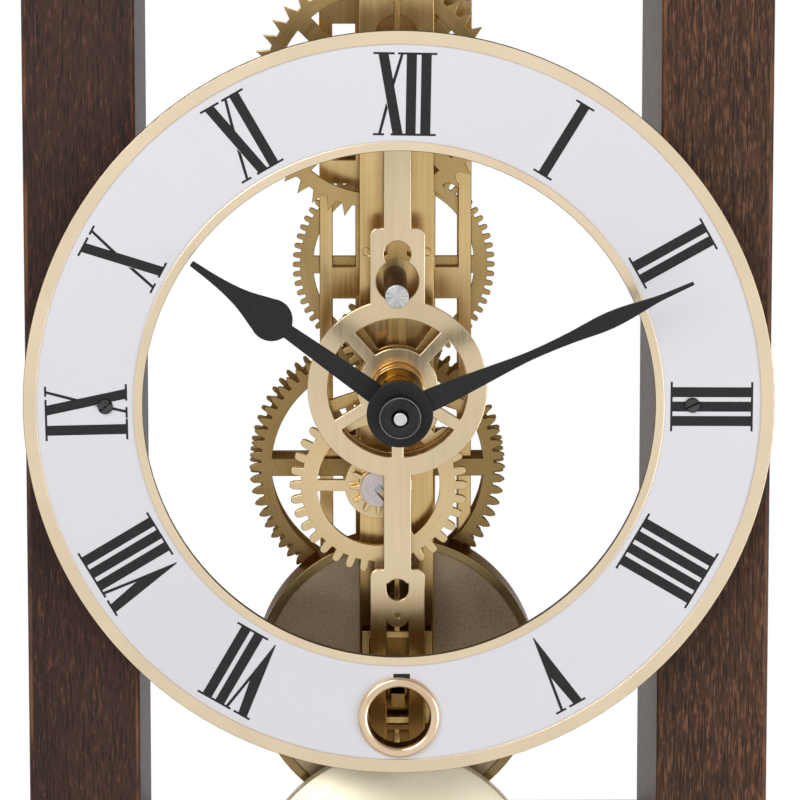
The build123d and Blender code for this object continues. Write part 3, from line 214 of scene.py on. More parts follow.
def dress(node, material):
    """Gives a CAD node that keeps its shape a finished material."""
    kept = nodes[node]
    kept.data.materials.clear()
    kept.data.materials.append(material)


for rail, tones, fleck, sparse in (
    ("left_rail", LEFT_RAIL_TONES, LEFT_RAIL_FLECK, LEFT_RAIL_SPARSE),
    ("right_rail", RIGHT_RAIL_TONES, RIGHT_RAIL_FLECK, RIGHT_RAIL_SPARSE),
):
    low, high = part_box(rail)
    arrises = (low.x + RAIL_EDGE * 0.5, high.x - RAIL_EDGE * 0.5)
    dress(rail, walnut("walnut " + rail, tones, fleck, ALONG_Z, sparse, arrises, low.y))

# Crosspieces and back bars: walnut rails let in between the uprights and glued. The crosspieces close the
# case at top and bottom, and the movement is screwed to the two bars behind it.
CROSS_TONES = ((48, 31, 26), (84, 55, 43))
CROSS_FLECK = (112, 72, 52)
CROSS_SPARSE = 0.45
cross_walnut = walnut("walnut crosspieces", CROSS_TONES, CROSS_FLECK, ALONG_X, CROSS_SPARSE)
for crosspiece in ("top_crosspiece", "bottom_crosspiece", "upper_back_bar", "lower_back_bar"):
    dress(crosspiece, cross_walnut)

# Hanger: a punched steel plate with the hole that the wall hook goes through, zinc plated, rubbed up and
# down, and let into the back of the upper bar.
ZINC_TONES = ((150, 152, 154), (202, 203, 204))
BRUSH_SCALE = 1100.0
BRUSH_STRETCH = 0.03
BRUSHED_CLOUD_SCALE = 60.0


def brushed(name, tones, along, roughness, bare=1.0, foot=None):
    """Bright metal rubbed along one axis, bare or under lacquer, that may be darkened towards its foot by
    painted shade.
    """
    material, place = new_finish(name)
    brush = step(grains(place, BRUSH_SCALE, drawn_out(along, BRUSH_STRETCH), 4.0), 0.25, 0.75)
    cloud = step(grains(place, BRUSHED_CLOUD_SCALE, detail=3.0), 0.35, 0.75)
    metal = tint(brush * 0.5 + cloud * 0.5, shade(*tones[0]), shade(*tones[1]))
    # Painted shade: below the given heights the metal darkens to a dark tone, the dark reflections of the
    # parts below painted in.
    if foot:
        foot_shade_tone, top, bottom = foot
        parts = place.make("ShaderNodeSeparateXYZ", {}, {"Vector": place})
        height = Wire(place.tree, parts.socket.node.outputs["Z"])
        metal = tint(1 - step(height, bottom, top), metal, shade(*foot_shade_tone))
    close_finish(place, {
        "Base Color": metal,
        "Metallic": bare,
        "Specular Tint": shade(*tones[0]),
        "Roughness": brush * 0.05 + cloud * 0.05 + (roughness - 0.05),
        "Normal": relief(brush, 0.015, 0.0001),
    })
    return material


dress("hanger_plate", brushed("zinc plated hanger", ZINC_TONES, ALONG_Z, 0.36))

# Plates, pillars and posts: the brass cage of the movement. The plates are milled from sheet, polished and
# rubbed up and down with their corners broken. The front one is darkened behind the dial's foot by painted
# shade, the dark reflections of the parts below it painted into its colour. The pillars and posts are turned.
PLATE_TONES = ((204, 172, 114), (236, 206, 150))
# Painted shade at the strip's foot: its tone, the height where it begins, and the height where it is full.
STRIP_FOOT_SHADE = ((112, 82, 40), -0.2, -0.228)
PLATE_ARRIS = 0.0002
TURNED_ARRIS = 0.00012
MERGE_DISTANCE = 1e-6
FLAT_ANGLE = math.radians(1.0)
ARRIS_ANGLE = math.radians(35.0)
SMOOTH_ANGLE = math.radians(32.0)
body_of_node = {}
for body, members in frame["record"]["behaviour"]["bodies"].items():
    for member in members:
        body_of_node[member] = body


def add_piece(name, mesh):
    """A new object at the origin, with its place in its mesh."""
    piece = bpy.data.objects.new(name, mesh)
    bpy.context.scene.collection.objects.link(piece)
    return piece


def settle(piece):
    """Turns a piece and its modifiers into a plain mesh whose flats stay flat and whose curves are smooth."""
    mesh = bpy.data.meshes.new_from_object(piece.evaluated_get(bpy.context.evaluated_depsgraph_get()))
    piece.modifiers.clear()
    mesh.polygons.foreach_set("use_smooth", [True] * len(mesh.polygons))
    mesh.set_sharp_from_angle(angle=SMOOTH_ANGLE)
    piece.data = mesh
    evened = piece.modifiers.new("evened", "WEIGHTED_NORMAL")
    evened.weight = 100
    evened.keep_sharp = True
    piece.data = bpy.data.meshes.new_from_object(piece.evaluated_get(bpy.context.evaluated_depsgraph_get()))
    piece.modifiers.clear()


def stand_for(piece, node):
    """Lets a piece ride with the body of the CAD node that it stands for, and hides that node."""
    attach(piece, body_of_node[node])
    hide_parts(node)


def soften(node, material, arris):
    """Stands a copy of a CAD node in its place, with its sharp corners broken."""
    solid = bmesh.new()
    solid.from_mesh(nodes[node].data)
    bmesh.ops.remove_doubles(solid, verts=solid.verts, dist=MERGE_DISTANCE)
    bmesh.ops.dissolve_limit(solid, angle_limit=FLAT_ANGLE, verts=solid.verts, edges=solid.edges)
    corners = []
    for edge in solid.edges:
        if edge.is_manifold and edge.calc_face_angle() > ARRIS_ANGLE:
            corners.append(edge)
    bmesh.ops.bevel(solid, geom=corners, offset=arris, offset_type="OFFSET", segments=2, profile=0.5,
                    affect="EDGES", clamp_overlap=False, loop_slide=False)
    mesh = bpy.data.meshes.new(node + "_softened")
    solid.to_mesh(mesh)
    solid.free()
    mesh.materials.clear()
    mesh.materials.append(material)
    piece = add_piece(node + "_softened", mesh)
    settle(piece)
    stand_for(piece, node)


plate_brass = brushed("polished brass plates", PLATE_TONES, ALONG_Z, 0.2)
post_brass = brushed("turned brass posts", PLATE_TONES, ALONG_X, 0.2)
for plate in ("rear_plate", "middle_plate"):
    soften(plate, plate_brass, PLATE_ARRIS)
strip_brass = brushed("polished brass strip", PLATE_TONES, ALONG_Z, 0.2, foot=STRIP_FOOT_SHADE)
soften("front_plate", strip_brass, PLATE_ARRIS)
for turning in ("pillars", "bridge_posts", "dial_posts"):
    soften(turning, post_brass, TURNED_ARRIS)

# Plate screws: four steel cheese heads that hold the rear plate to the back bars. Each has a chamfered rim
# and a sawn slot, and they stop at different turns.
PLATE_SCREW_SIZES = {
    "Radius": 0.0022, "Height": 0.0012, "Chamfer": 0.0003, "Shank radius": 0.0012, "Shank length": 0.008,
    "Slot width": 0.0006, "Slot depth": 0.0006, "Least turn": 0.2, "Most turn": 2.6, "Seed": 3,
}
SCREW_STEEL_TONES = ((146, 146, 148), (204, 204, 204))
SCREW_FACETS = 48
VALUE = "NodeSocketFloat"


def new_tree(name, inputs):
    """An empty Geometry Nodes tree with its named inputs, and a wire from each of them."""
    tree = bpy.data.node_groups.new(name, "GeometryNodeTree")
    tree.interface.new_socket("Geometry", in_out="INPUT", socket_type="NodeSocketGeometry")
    for label, kind in inputs.items():
        tree.interface.new_socket(label, in_out="INPUT", socket_type=kind)
    tree.interface.new_socket("Geometry", in_out="OUTPUT", socket_type="NodeSocketGeometry")
    entry = tree.nodes.new("NodeGroupInput")
    wires = {}
    for socket in entry.outputs:
        if socket.name:
            wires[socket.name] = Wire(tree, socket)
    return tree, wires


def close_tree(grown, material):
    """The end of a tree: plain mesh in its material."""
    whole = grown.make("GeometryNodeRealizeInstances", {}, {"Geometry": grown})
    whole = grown.make("GeometryNodeSetMaterial", {}, {"Geometry": whole, "Material": material})
    grown.make("NodeGroupOutput", {}, {"Geometry": whole})


def grow(piece, tree, sizes):
    """Runs a tree on a piece at these sizes, and keeps what it makes as the piece's mesh."""
    modifier = piece.modifiers.new("grown", "NODES")
    modifier.node_group = tree
    for item in tree.interface.items_tree:
        if item.in_out == "INPUT" and item.name in sizes:
            modifier[item.identifier] = sizes[item.name]
    settle(piece)


screw_tree, given = new_tree("slotted screws", {
    "Radius": VALUE, "Height": VALUE, "Chamfer": VALUE, "Shank radius": VALUE, "Shank length": VALUE,
    "Slot width": VALUE, "Slot depth": VALUE, "Least turn": VALUE, "Most turn": VALUE,
    "Seed": "NodeSocketInt", "Material": "NodeSocketMaterial",
})
points = given["Geometry"]


def moved_up(shape, height):
    """A shape lifted along the screw's own axis."""
    lift = shape.make("ShaderNodeCombineXYZ", {}, {"Z": height})
    return shape.make("GeometryNodeTransform", {}, {"Geometry": shape, "Translation": lift})


def joined(shape, other, operation):
    """Two shapes made one, or the second cut out of the first."""
    if operation == "DIFFERENCE":
        return shape.make("GeometryNodeMeshBoolean", {"operation": operation}, {0: shape, 1: other})
    whole = shape.make("GeometryNodeMeshBoolean", {"operation": operation}, {1: shape})
    shape.tree.links.new(other.socket, whole.socket.node.inputs[1])
    return whole


wall = given["Height"] - given["Chamfer"]
head = points.make("GeometryNodeMeshCylinder", {}, {
    "Vertices": SCREW_FACETS, "Radius": given["Radius"], "Depth": wall,
})
head = moved_up(head, wall * 0.5)
rim = points.make("GeometryNodeMeshCone", {}, {
    "Vertices": SCREW_FACETS, "Radius Top": given["Radius"] - given["Chamfer"],
    "Radius Bottom": given["Radius"], "Depth": given["Chamfer"],
})
shank = points.make("GeometryNodeMeshCylinder", {}, {
    "Vertices": SCREW_FACETS // 2, "Radius": given["Shank radius"], "Depth": given["Shank length"],
})
slot_size = points.make("ShaderNodeCombineXYZ", {}, {
    "X": given["Radius"] * 3.0, "Y": given["Slot width"], "Z": given["Slot depth"] * 2.0,
})
slot = points.make("GeometryNodeMeshCube", {}, {"Size": slot_size})
head = joined(head, moved_up(rim, wall), "UNION")
head = joined(head, moved_up(shank, given["Shank length"] * -0.5), "UNION")
head = joined(head, moved_up(slot, given["Height"]), "DIFFERENCE")
turn = points.make("FunctionNodeRandomValue", {"data_type": "FLOAT"}, {
    "Min": given["Least turn"], "Max": given["Most turn"], "Seed": given["Seed"],
}, output=1)
facing = points.make("ShaderNodeCombineXYZ", {}, {"X": math.pi / 2, "Y": turn})
close_tree(points.make("GeometryNodeInstanceOnPoints", {}, {
    "Points": points, "Instance": head, "Rotation": facing,
}), given["Material"])


def set_screws(node, places, sizes, material):
    """Puts a slotted screw at each place, with its head facing the viewer, for a CAD node of screws."""
    mesh = bpy.data.meshes.new(node + "_slotted")
    mesh.from_pydata(places, [], [])
    piece = add_piece(node + "_slotted", mesh)
    grow(piece, screw_tree, {**sizes, "Material": material})
    stand_for(piece, node)


low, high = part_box("movement_screws")
plate_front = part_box("rear_plate")[0].y
inset = PLATE_SCREW_SIZES["Radius"]
plate_screw_places = []
for across in (low.x + inset, high.x - inset):
    for up in (low.z + inset, high.z - inset):
        plate_screw_places.append((across, plate_front, up))
screw_steel = brushed("steel plate screws", SCREW_STEEL_TONES, ALONG_Z, 0.28)
set_screws("movement_screws", plate_screw_places, PLATE_SCREW_SIZES, screw_steel)

# Wheels: cut from brass sheet, crossed out, and finished by turning, so that fine rings run round each
# axis. The drive wheels at the back get darker tones than the rest: painted shade, for the shadow they lie
# in.
WHEEL_TONES = ((184, 154, 100), (202, 173, 118))
# Painted shade: darker tones for the drive wheels, which lie in shadow deep in the movement.
SHADED_DRIVE_WHEEL_TONES = ((148, 122, 76), (176, 148, 98))
MOTION_WHEEL_TONES = ((218, 193, 146), (227, 203, 158))
WHEEL_ARRIS = 0.00016
RING_SCALE = 2600.0
TURNED_CLOUD_SCALE = 70.0


def polar(place, axis):
    """The distance from an axis along y, the angle round it, and the depth along it."""
    parts = place.make("ShaderNodeSeparateXYZ", {}, {"Vector": place})
    across = parts - axis[0]
    up = Wire(place.tree, parts.socket.node.outputs["Z"]) - axis[1]
    radius = (across * across + up * up) ** 0.5
    return radius, place.sum("ARCTAN2", up, across), Wire(place.tree, parts.socket.node.outputs["Y"])


def turned(name, tones, axis, roughness, rays=0.0, bare=1.0):
    """Metal turned about an axis along y, bare or lacquered: rings round it, and rays where it is faced."""
    material, place = new_finish(name)
    radius, angle, depth = polar(place, axis)
    ringed = place.make("ShaderNodeCombineXYZ", {}, {"X": radius, "Y": angle * 0.0006, "Z": depth})
    rayed = place.make("ShaderNodeCombineXYZ", {}, {"X": radius * 0.05, "Y": angle * 0.004, "Z": 0.0})
    rings = step(grains(ringed, RING_SCALE, detail=3.0), 0.25, 0.75)
    fan = step(grains(rayed, RING_SCALE, detail=3.0), 0.3, 0.7)
    cloud = step(grains(place, TURNED_CLOUD_SCALE, detail=3.0), 0.35, 0.75)
    worked = fan * rays + rings * (0.5 - rays * 0.5) + cloud * (0.5 - rays * 0.5)
    close_finish(place, {
        "Base Color": tint(worked, shade(*tones[0]), shade(*tones[1])),
        "Metallic": bare,
        "Specular Tint": shade(*tones[0]),
        "Roughness": rings * 0.05 + cloud * 0.05 + (roughness - 0.05),
        "Normal": relief(rings, 0.012, 0.0001),
    })
    return material


def middle(node):
    """The axis of a round CAD node: the middle of its box, across and up."""
    low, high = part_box(node)
    return ((low.x + high.x) / 2, (low.z + high.z) / 2)


for wheel in ("great_wheel", "second_wheel", "third_wheel", "fourth_wheel", "escape_wheel", "hour_wheel",
              "cannon_pinion"):
    soften(wheel, turned("turned brass " + wheel, WHEEL_TONES, middle(wheel), 0.26), WHEEL_ARRIS)
motion_brass = turned("pale brass motion wheel", MOTION_WHEEL_TONES, middle("motion_wheel"), 0.26)
soften("motion_wheel", motion_brass, WHEEL_ARRIS)
# The drive wheels take the darker tones of painted shade.
for wheel in ("drive_wheel_rear", "drive_wheel_front"):
    soften(wheel, turned("shaded brass " + wheel, SHADED_DRIVE_WHEEL_TONES, middle(wheel), 0.3), WHEEL_ARRIS)

# Arbors: turned from steel rod and polished. The third arbor runs out to a post with a faced end, which
# shows rays, and the drive arbor carries a pale spring washer.
ARBOR_TONES = ((142, 142, 144), (212, 212, 212))
CENTRE_TONES = ((206, 206, 207), (240, 240, 240))
POST_TONES = ((128, 118, 111), (176, 166, 158))
POST_FACE_TONES = ((168, 166, 166), (226, 225, 225))
POST_FACE_DEPTH = 0.0003
WASHER_TONES = ((186, 176, 174), (216, 208, 206))
for arbor in ("drive_arbor", "second_arbor", "fourth_arbor", "escape_arbor", "anchor_arbor"):
    soften(arbor, turned("turned steel " + arbor, ARBOR_TONES, middle(arbor), 0.22), TURNED_ARRIS)
soften("centre_arbor", turned("bright steel arbor", CENTRE_TONES, middle("centre_arbor"), 0.24), TURNED_ARRIS)
material, place = new_finish("faced steel post")
radius, angle, depth = polar(place, middle("third_arbor"))
rayed = place.make("ShaderNodeCombineXYZ", {}, {"X": radius * 0.05, "Y": angle * 0.0016, "Z": 0.0})
fan = step(grains(rayed, RING_SCALE, detail=2.0), 0.25, 0.75)
rings = step(grains(place, RING_SCALE, drawn_out(ALONG_X, 0.04), 2.0), 0.25, 0.75)
post_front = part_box("third_arbor")[0].y
on_face = 1 - step(depth, post_front, post_front + POST_FACE_DEPTH)
post_side = tint(rings, shade(*POST_TONES[0]), shade(*POST_TONES[1]))
post_face = tint(fan, shade(*POST_FACE_TONES[0]), shade(*POST_FACE_TONES[1]))
close_finish(place, {
    "Base Color": tint(on_face, post_side, post_face),
    "Metallic": 1.0,
    "Specular Tint": shade(*POST_TONES[0]),
    "Roughness": rings * 0.06 + on_face * 0.1 + 0.2,
})
soften("third_arbor", material, PLATE_ARRIS)
washer_steel = turned("pale spring washer", WASHER_TONES, middle("drive_wheel_front"), 0.26)
soften("friction_washer", washer_steel, TURNED_ARRIS)

# Barrel: a turned brass drum with a stained brown-grey cover snapped into its front, the blued spring inside
# it as a plain ring, and the gilt winding arbor with its faced square end.
DRUM_TONES = ((124, 104, 68), (170, 146, 100))
COVER_TONES = ((132, 115, 95), (188, 166, 138))
GILT_TONES = ((92, 66, 34), (150, 116, 64))
SPRING_TONES = ((92, 98, 110), (140, 146, 156))
barrel_axis = middle("barrel_drum")
soften("barrel_drum", turned("turned brass drum", DRUM_TONES, barrel_axis, 0.24), PLATE_ARRIS)
material, place = new_finish("stained brown cover")
stain = step(grains(place, 30.0, detail=3.0, waver=0.5), 0.3, 0.7)
speck = step(grains(place, 2200.0, detail=3.0), 0.25, 0.75)
close_finish(place, {
    "Base Color": tint(stain * 0.55 + speck * 0.45, shade(*COVER_TONES[0]), shade(*COVER_TONES[1])),
    "Metallic": 1.0,
    "Specular Tint": shade(*COVER_TONES[0]),
    "Roughness": stain * 0.08 + speck * 0.06 + 0.32,
    "Normal": relief(speck, 0.02, 0.0001),
})
soften("barrel_cover", material, TURNED_ARRIS)
dress("mainspring", turned("blued mainspring", SPRING_TONES, barrel_axis, 0.3))
soften("winding_arbor", turned("gilt winding arbor", GILT_TONES, barrel_axis, 0.2, 0.7), TURNED_ARRIS)

# Winding work and escapement: the ratchet, with the click and its spring just off its teeth, and the anchor
# over the escape wheel. They are filed from steel and rubbed.
FILED_TONES = ((134, 134, 136), (198, 198, 198))
soften("ratchet_wheel", turned("turned steel ratchet", FILED_TONES, barrel_axis, 0.26), WHEEL_ARRIS)
filed_steel = brushed("filed steel", FILED_TONES, ALONG_X, 0.28)
for filed in ("click", "anchor"):
    soften(filed, filed_steel, WHEEL_ARRIS)
dress("click_spring", filed_steel)

# Bridge and hub bush: the pierced brass arm that carries the hands, milled from sheet, polished and
# lacquered pale, and darkened towards its foot by painted shade, with a grooved brass bush in its ring.
BRIDGE_TONES = ((219, 198, 161), (230, 210, 175))
BUSH_TONES = ((218, 184, 126), (240, 210, 154))
# Painted shade at the bridge's foot, the dark reflections of the parts below it: its tone, the height where
# it begins, and the height where it is full.
BRIDGE_FOOT_SHADE = ((122, 90, 44), -0.212, -0.227)
BRIDGE_ARRIS = 0.00025
soften("bridge", brushed("pale lacquered brass", BRIDGE_TONES, ALONG_Z, 0.2, 0.8, BRIDGE_FOOT_SHADE), BRIDGE_ARRIS)
soften("hub_bush", turned("polished brass bush", BUSH_TONES, middle("hub_bush"), 0.16), WHEEL_ARRIS)

# Pendulum: a slim brass rod on a steel suspension spring under a brass cock, with the crutch that drives it,
# a stirrup round the winding arbor, and the rating nut under the bob.
ROD_TONES = ((186, 152, 92), (224, 194, 134))
rod_brass = brushed("rubbed brass rod", ROD_TONES, ALONG_Z, 0.26)
for member in ("suspension_cock", "crutch", "pendulum_rod", "stirrup", "rating_nut"):
    soften(member, rod_brass, TURNED_ARRIS)
dress("suspension_spring", brushed("spring steel strip", ARBOR_TONES, ALONG_Z, 0.24))

# Bob: a spun brass lens, polished and lacquered, that slides on the pendulum rod.
BOB_TONES = ((247, 237, 207), (252, 244, 219))
BOB_ARRIS = 0.0004
soften("bob", turned("polished brass bob", BOB_TONES, middle("bob"), 0.38, bare=0.5), BOB_ARRIS)

# Dial: a ring of aluminium with a fine satin silver face, framed by two gold lacquered bands that are
# pressed on. Both carry a thin line of painted shade where they end, at the outside and at the opening.
SILVER_TONES = ((208, 207, 212), (214, 213, 218))
BAND_TONES = ((231, 211, 180), (236, 217, 187))
BAND_ARRIS = 0.00018
# Painted shade: the dark line painted round the outside and the opening of the dial and its bands.
RIM_SHADE_TONE = (70, 56, 40)
RIM_SHADE_WIDTH = 0.00014
OPENING_RADIUS = 0.0614
dial_centre = middle("outer_bezel")
outside_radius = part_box("outer_bezel")[1].x - dial_centre[0]


def rim_shade_mask(place):
    """Where the dial's ring ends, round its outside and round its opening: the mask of the painted shade
    there.
    """
    radius = polar(place, dial_centre)[0]
    half_width = (outside_radius - OPENING_RADIUS) / 2
    from_middle = abs(radius - (outside_radius + OPENING_RADIUS) / 2)
    return step(from_middle, half_width - RIM_SHADE_WIDTH, half_width - RIM_SHADE_WIDTH * 0.4)


material, place = new_finish("satin silver dial")
grain = step(grains(place, 3600.0), 0.3, 0.7)
cloud = step(grains(place, 18.0), 0.3, 0.7)
silver = tint(grain * 0.6 + cloud * 0.4, shade(*SILVER_TONES[0]), shade(*SILVER_TONES[1]))
close_finish(place, {
    "Base Color": tint(rim_shade_mask(place), silver, shade(*RIM_SHADE_TONE)),
    "Metallic": 0.55,
    "Roughness": grain * 0.08 + 0.42,
    "Normal": relief(grain, 0.02, 0.00005),
})
soften("dial_plate", material, TURNED_ARRIS)
material, place = new_finish("gold lacquered bands")
grain = step(grains(place, 2800.0), 0.3, 0.7)
cloud = step(grains(place, 45.0, detail=3.0), 0.3, 0.7)
gold = tint(grain * 0.4 + cloud * 0.6, shade(*BAND_TONES[0]), shade(*BAND_TONES[1]))
close_finish(place, {
    "Base Color": tint(rim_shade_mask(place), gold, shade(*RIM_SHADE_TONE)),
    "Metallic": 1.0,
    "Specular Tint": shade(*BAND_TONES[0]),
    "Roughness": grain * 0.02 + cloud * 0.05 + 0.28,
})
soften("outer_bezel", material, BAND_ARRIS)
soften("inner_bezel", material, BAND_ARRIS)

# Numerals: printed in matt black ink, upright to the rim. Strokes are in millimetres, across and up
# from the foot, and the hours sit a little off their marks, as the print does. The eyelet of the winding
# hole covers the sixth hour, all but the foot of one stroke.
NUMERALS = {
    12: ("XII", 1.0), 1: ("I", 1.5), 2: ("II", 0.7), 3: ("III", 0.3), 4: ("IIII", 0.5), 5: ("V", 0.6),
    7: ("VII", 0.1), 8: ("VIII", -0.9), 9: ("IX", -1.2), 10: ("X", -1.8), 11: ("XI", 0.1),
}
HOUR_ANGLE = 30
MILLIMETRES = 1000
NUMERAL_FOOT = 65.5
NUMERAL_HEIGHT = 18.8
STROKE = 2.4
STROKE_PITCH = 3.5
SERIF = 0.5
SERIF_REACH = 1.3
V_FORK_DROP = 8.2
V_WIDTH = 8.0
V_PITCH = 7.2
X_WIDTH = 8.2
X_PITCH = 7.9
SIXTH_FOOT = [(-2.6, 0.1), (1.4, 0.1), (1.4, 1.3), (-2.6, 1.3)]
INK = 0.00006
INK_TONES = ((24, 23, 24), (36, 35, 36))


def draw_numeral(letters):
    """The strokes of a numeral as flat outlines, and the middle of its width."""
    top = NUMERAL_HEIGHT
    outlines = []
    top_bars = []
    foot_bars = []
    left = 0.0
    last = ""
    for letter in letters:
        if letter == "I":
            if last == "I":
                left += STROKE_PITCH
            right = left + STROKE
            outlines.append([(left, 0), (right, 0), (right, top), (left, top)])
            top_bars.append((left - SERIF_REACH, right + SERIF_REACH))
            foot_bars.append((left - SERIF_REACH, right + SERIF_REACH))
            end = right + SERIF_REACH
        if letter == "V":
            fork = top - V_FORK_DROP
            thick = [(0.9, top), (3.6, 0), (3.85, 0), (5.4, fork), (4.75, fork), (3.2, top)]
            thin = [(6.0, top), (4.75, fork), (5.4, fork), (6.7, top)]
            outlines.append([(left + x, y) for x, y in thick])
            outlines.append([(left + x, y) for x, y in thin])
            top_bars.append((left, left + 4.4))
            top_bars.append((left + 5.3, left + V_WIDTH))
            end = left + V_WIDTH
        if letter == "X":
            if last == "I":
                left += STROKE + SERIF_REACH
            thick = [(1.2, top), (4.8, 0), (7.2, 0), (3.6, top)]
            upper = [(6.45, top), (4.65, 0.67 * top), (5.0, 0.6 * top), (7.1, top)]
            lower = [(3.2, 0.39 * top), (1.45, 0), (2.1, 0), (3.6, 0.32 * top)]
            for outline in (thick, upper, lower):
                outlines.append([(left + x, y) for x, y in outline])
            top_bars.append((left, left + 5.0))
            top_bars.append((left + 5.8, left + X_WIDTH))
            foot_bars.append((left + 0.2, left + 2.8))
            foot_bars.append((left + 4.4, left + 8.4))
            end = left + X_WIDTH
        last = letter
        if letter == "V":
            left += V_PITCH
        if letter == "X":
            left += X_PITCH
    for bars, low in ((top_bars, top), (foot_bars, -SERIF)):
        merged = []
        for start, stop in sorted(bars):
            if merged and start <= merged[-1][1]:
                merged[-1][1] = max(stop, merged[-1][1])
            else:
                merged.append([start, stop])
        for start, stop in merged:
            outlines.append([(start, low), (stop, low), (stop, low + SERIF), (start, low + SERIF)])
    first = min(x for outline in outlines for x, y in outline)
    return outlines, (first + end) / 2


def print_strokes(ink, outlines, half, turn):
    """Lays strokes on the dial with their heads to the rim, turned this far clockwise from the top."""
    across = Vector((math.cos(turn), 0, -math.sin(turn)))
    outward = Vector((math.sin(turn), 0, math.cos(turn)))
    centre = Vector((dial_centre[0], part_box("dial_plate")[0].y, dial_centre[1]))
    lift = Vector((0, -INK, 0))
    for outline in outlines:
        base = []
        for x, y in outline:
            sideways = across * (x - half) / MILLIMETRES
            base.append(centre + sideways + outward * (NUMERAL_FOOT + y) / MILLIMETRES)
        below = [ink.verts.new(point) for point in base]
        above = [ink.verts.new(point + lift) for point in base]
        ink.faces.new(above)
        ink.faces.new(below)
        for index in range(len(base)):
            after = (index + 1) % len(base)
            ink.faces.new((below[index], below[after], above[after], above[index]))


ink = bmesh.new()
for hour, (letters, slip) in NUMERALS.items():
    outlines, half = draw_numeral(letters)
    print_strokes(ink, outlines, half, math.radians(hour * HOUR_ANGLE + slip))
print_strokes(ink, [SIXTH_FOOT], 0.0, math.pi)
bmesh.ops.recalc_face_normals(ink, faces=ink.faces)
mesh = bpy.data.meshes.new("numerals")
ink.to_mesh(mesh)
ink.free()
numerals = add_piece("numerals", mesh)
material, place = new_finish("matt printing ink")
grain = step(grains(place, 2400.0), 0.3, 0.7)
close_finish(place, {
    "Base Color": tint(grain, shade(*INK_TONES[0]), shade(*INK_TONES[1])),
    "Roughness": grain * 0.15 + 0.5,
    "Specular IOR Level": 0.25,
})
mesh.materials.append(material)
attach(numerals, "frame")

# Winding grommet: a turned eyelet of polished rose gold brass that lines the winding hole. Its face is a
# little dished between two rounded rims. The outline is in millimetres: from the axis, and from the wall.
GROMMET_OUTLINE = [
    (9.90, 88.00), (9.90, 88.75), (9.82, 89.10), (9.62, 89.40), (9.35, 89.56), (9.10, 89.60), (8.70, 89.50),
    (8.25, 89.46), (7.95, 89.38), (7.72, 89.20), (7.57, 88.92), (7.50, 88.55), (7.50, 83.00), (7.90, 83.00),
    (7.90, 88.00),
]
GROMMET_TONES = ((232, 203, 168), (246, 222, 190))
LATHE_STEPS = 96


def lathe(name, outline, axis):
    """A closed outline, in millimetres from the axis and from the wall, spun about an axis along y."""
    spun = bmesh.new()
    rings = []
    for index in range(LATHE_STEPS):
        angle = 2 * math.pi * index / LATHE_STEPS
        ring = []
        for radius, out in outline:
            across = axis[0] + radius / MILLIMETRES * math.cos(angle)
            up = axis[1] + radius / MILLIMETRES * math.sin(angle)
            ring.append(spun.verts.new((across, -out / MILLIMETRES, up)))
        rings.append(ring)
    for index, ring in enumerate(rings):
        after = rings[(index + 1) % LATHE_STEPS]
        for point in range(len(outline)):
            further = (point + 1) % len(outline)
            spun.faces.new((ring[point], ring[further], after[further], after[point]))
    bmesh.ops.recalc_face_normals(spun, faces=spun.faces)
    mesh = bpy.data.meshes.new(name)
    spun.to_mesh(mesh)
    spun.free()
    return mesh


grommet_axis = middle("winding_grommet")
mesh = lathe("winding_eyelet", GROMMET_OUTLINE, grommet_axis)
mesh.materials.append(turned("rose gold eyelet", GROMMET_TONES, grommet_axis, 0.18))
eyelet = add_piece("winding_eyelet", mesh)
settle(eyelet)
stand_for(eyelet, "winding_grommet")

# Dial screws: two blued slotted screws through the third and ninth hours, which hold the dial to its posts.
DIAL_SCREW_SIZES = {
    "Radius": 0.0018, "Height": 0.0008, "Chamfer": 0.0002, "Shank radius": 0.001, "Shank length": 0.01,
    "Slot width": 0.0004, "Slot depth": 0.0004, "Least turn": -0.85, "Most turn": -0.45, "Seed": 5,
}
DIAL_SCREW_TONES = ((62, 60, 61), (92, 89, 90))
low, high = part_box("dial_screws")
dial_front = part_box("dial_plate")[0].y
inset = DIAL_SCREW_SIZES["Radius"]
dial_screw_places = []
for across in (low.x + inset, high.x - inset):
    dial_screw_places.append((across, dial_front, dial_centre[1]))
screw_blue = brushed("blued dial screws", DIAL_SCREW_TONES, ALONG_X, 0.3)
set_screws("dial_screws", dial_screw_places, DIAL_SCREW_SIZES, screw_blue)

# Hands: pressed from sheet with rounded edges and finished in matt black, each on a black collet that is
# pushed on to its pipe.
HAND_TONES = ((18, 17, 19), (28, 27, 29))
HAND_ARRIS = 0.00022
black_finish, place = new_finish("matt black hands")
grain = step(grains(place, 1800.0, detail=3.0), 0.3, 0.7)
close_finish(place, {
    "Base Color": tint(grain, shade(*HAND_TONES[0]), shade(*HAND_TONES[1])),
    "Roughness": grain * 0.14 + 0.4,
    "Specular IOR Level": 0.28,
    "Normal": relief(grain, 0.04, 0.00005),
})
for hand in ("minute_hand", "hour_hand", "minute_collet", "hour_collet"):
    soften(hand, black_finish, HAND_ARRIS)

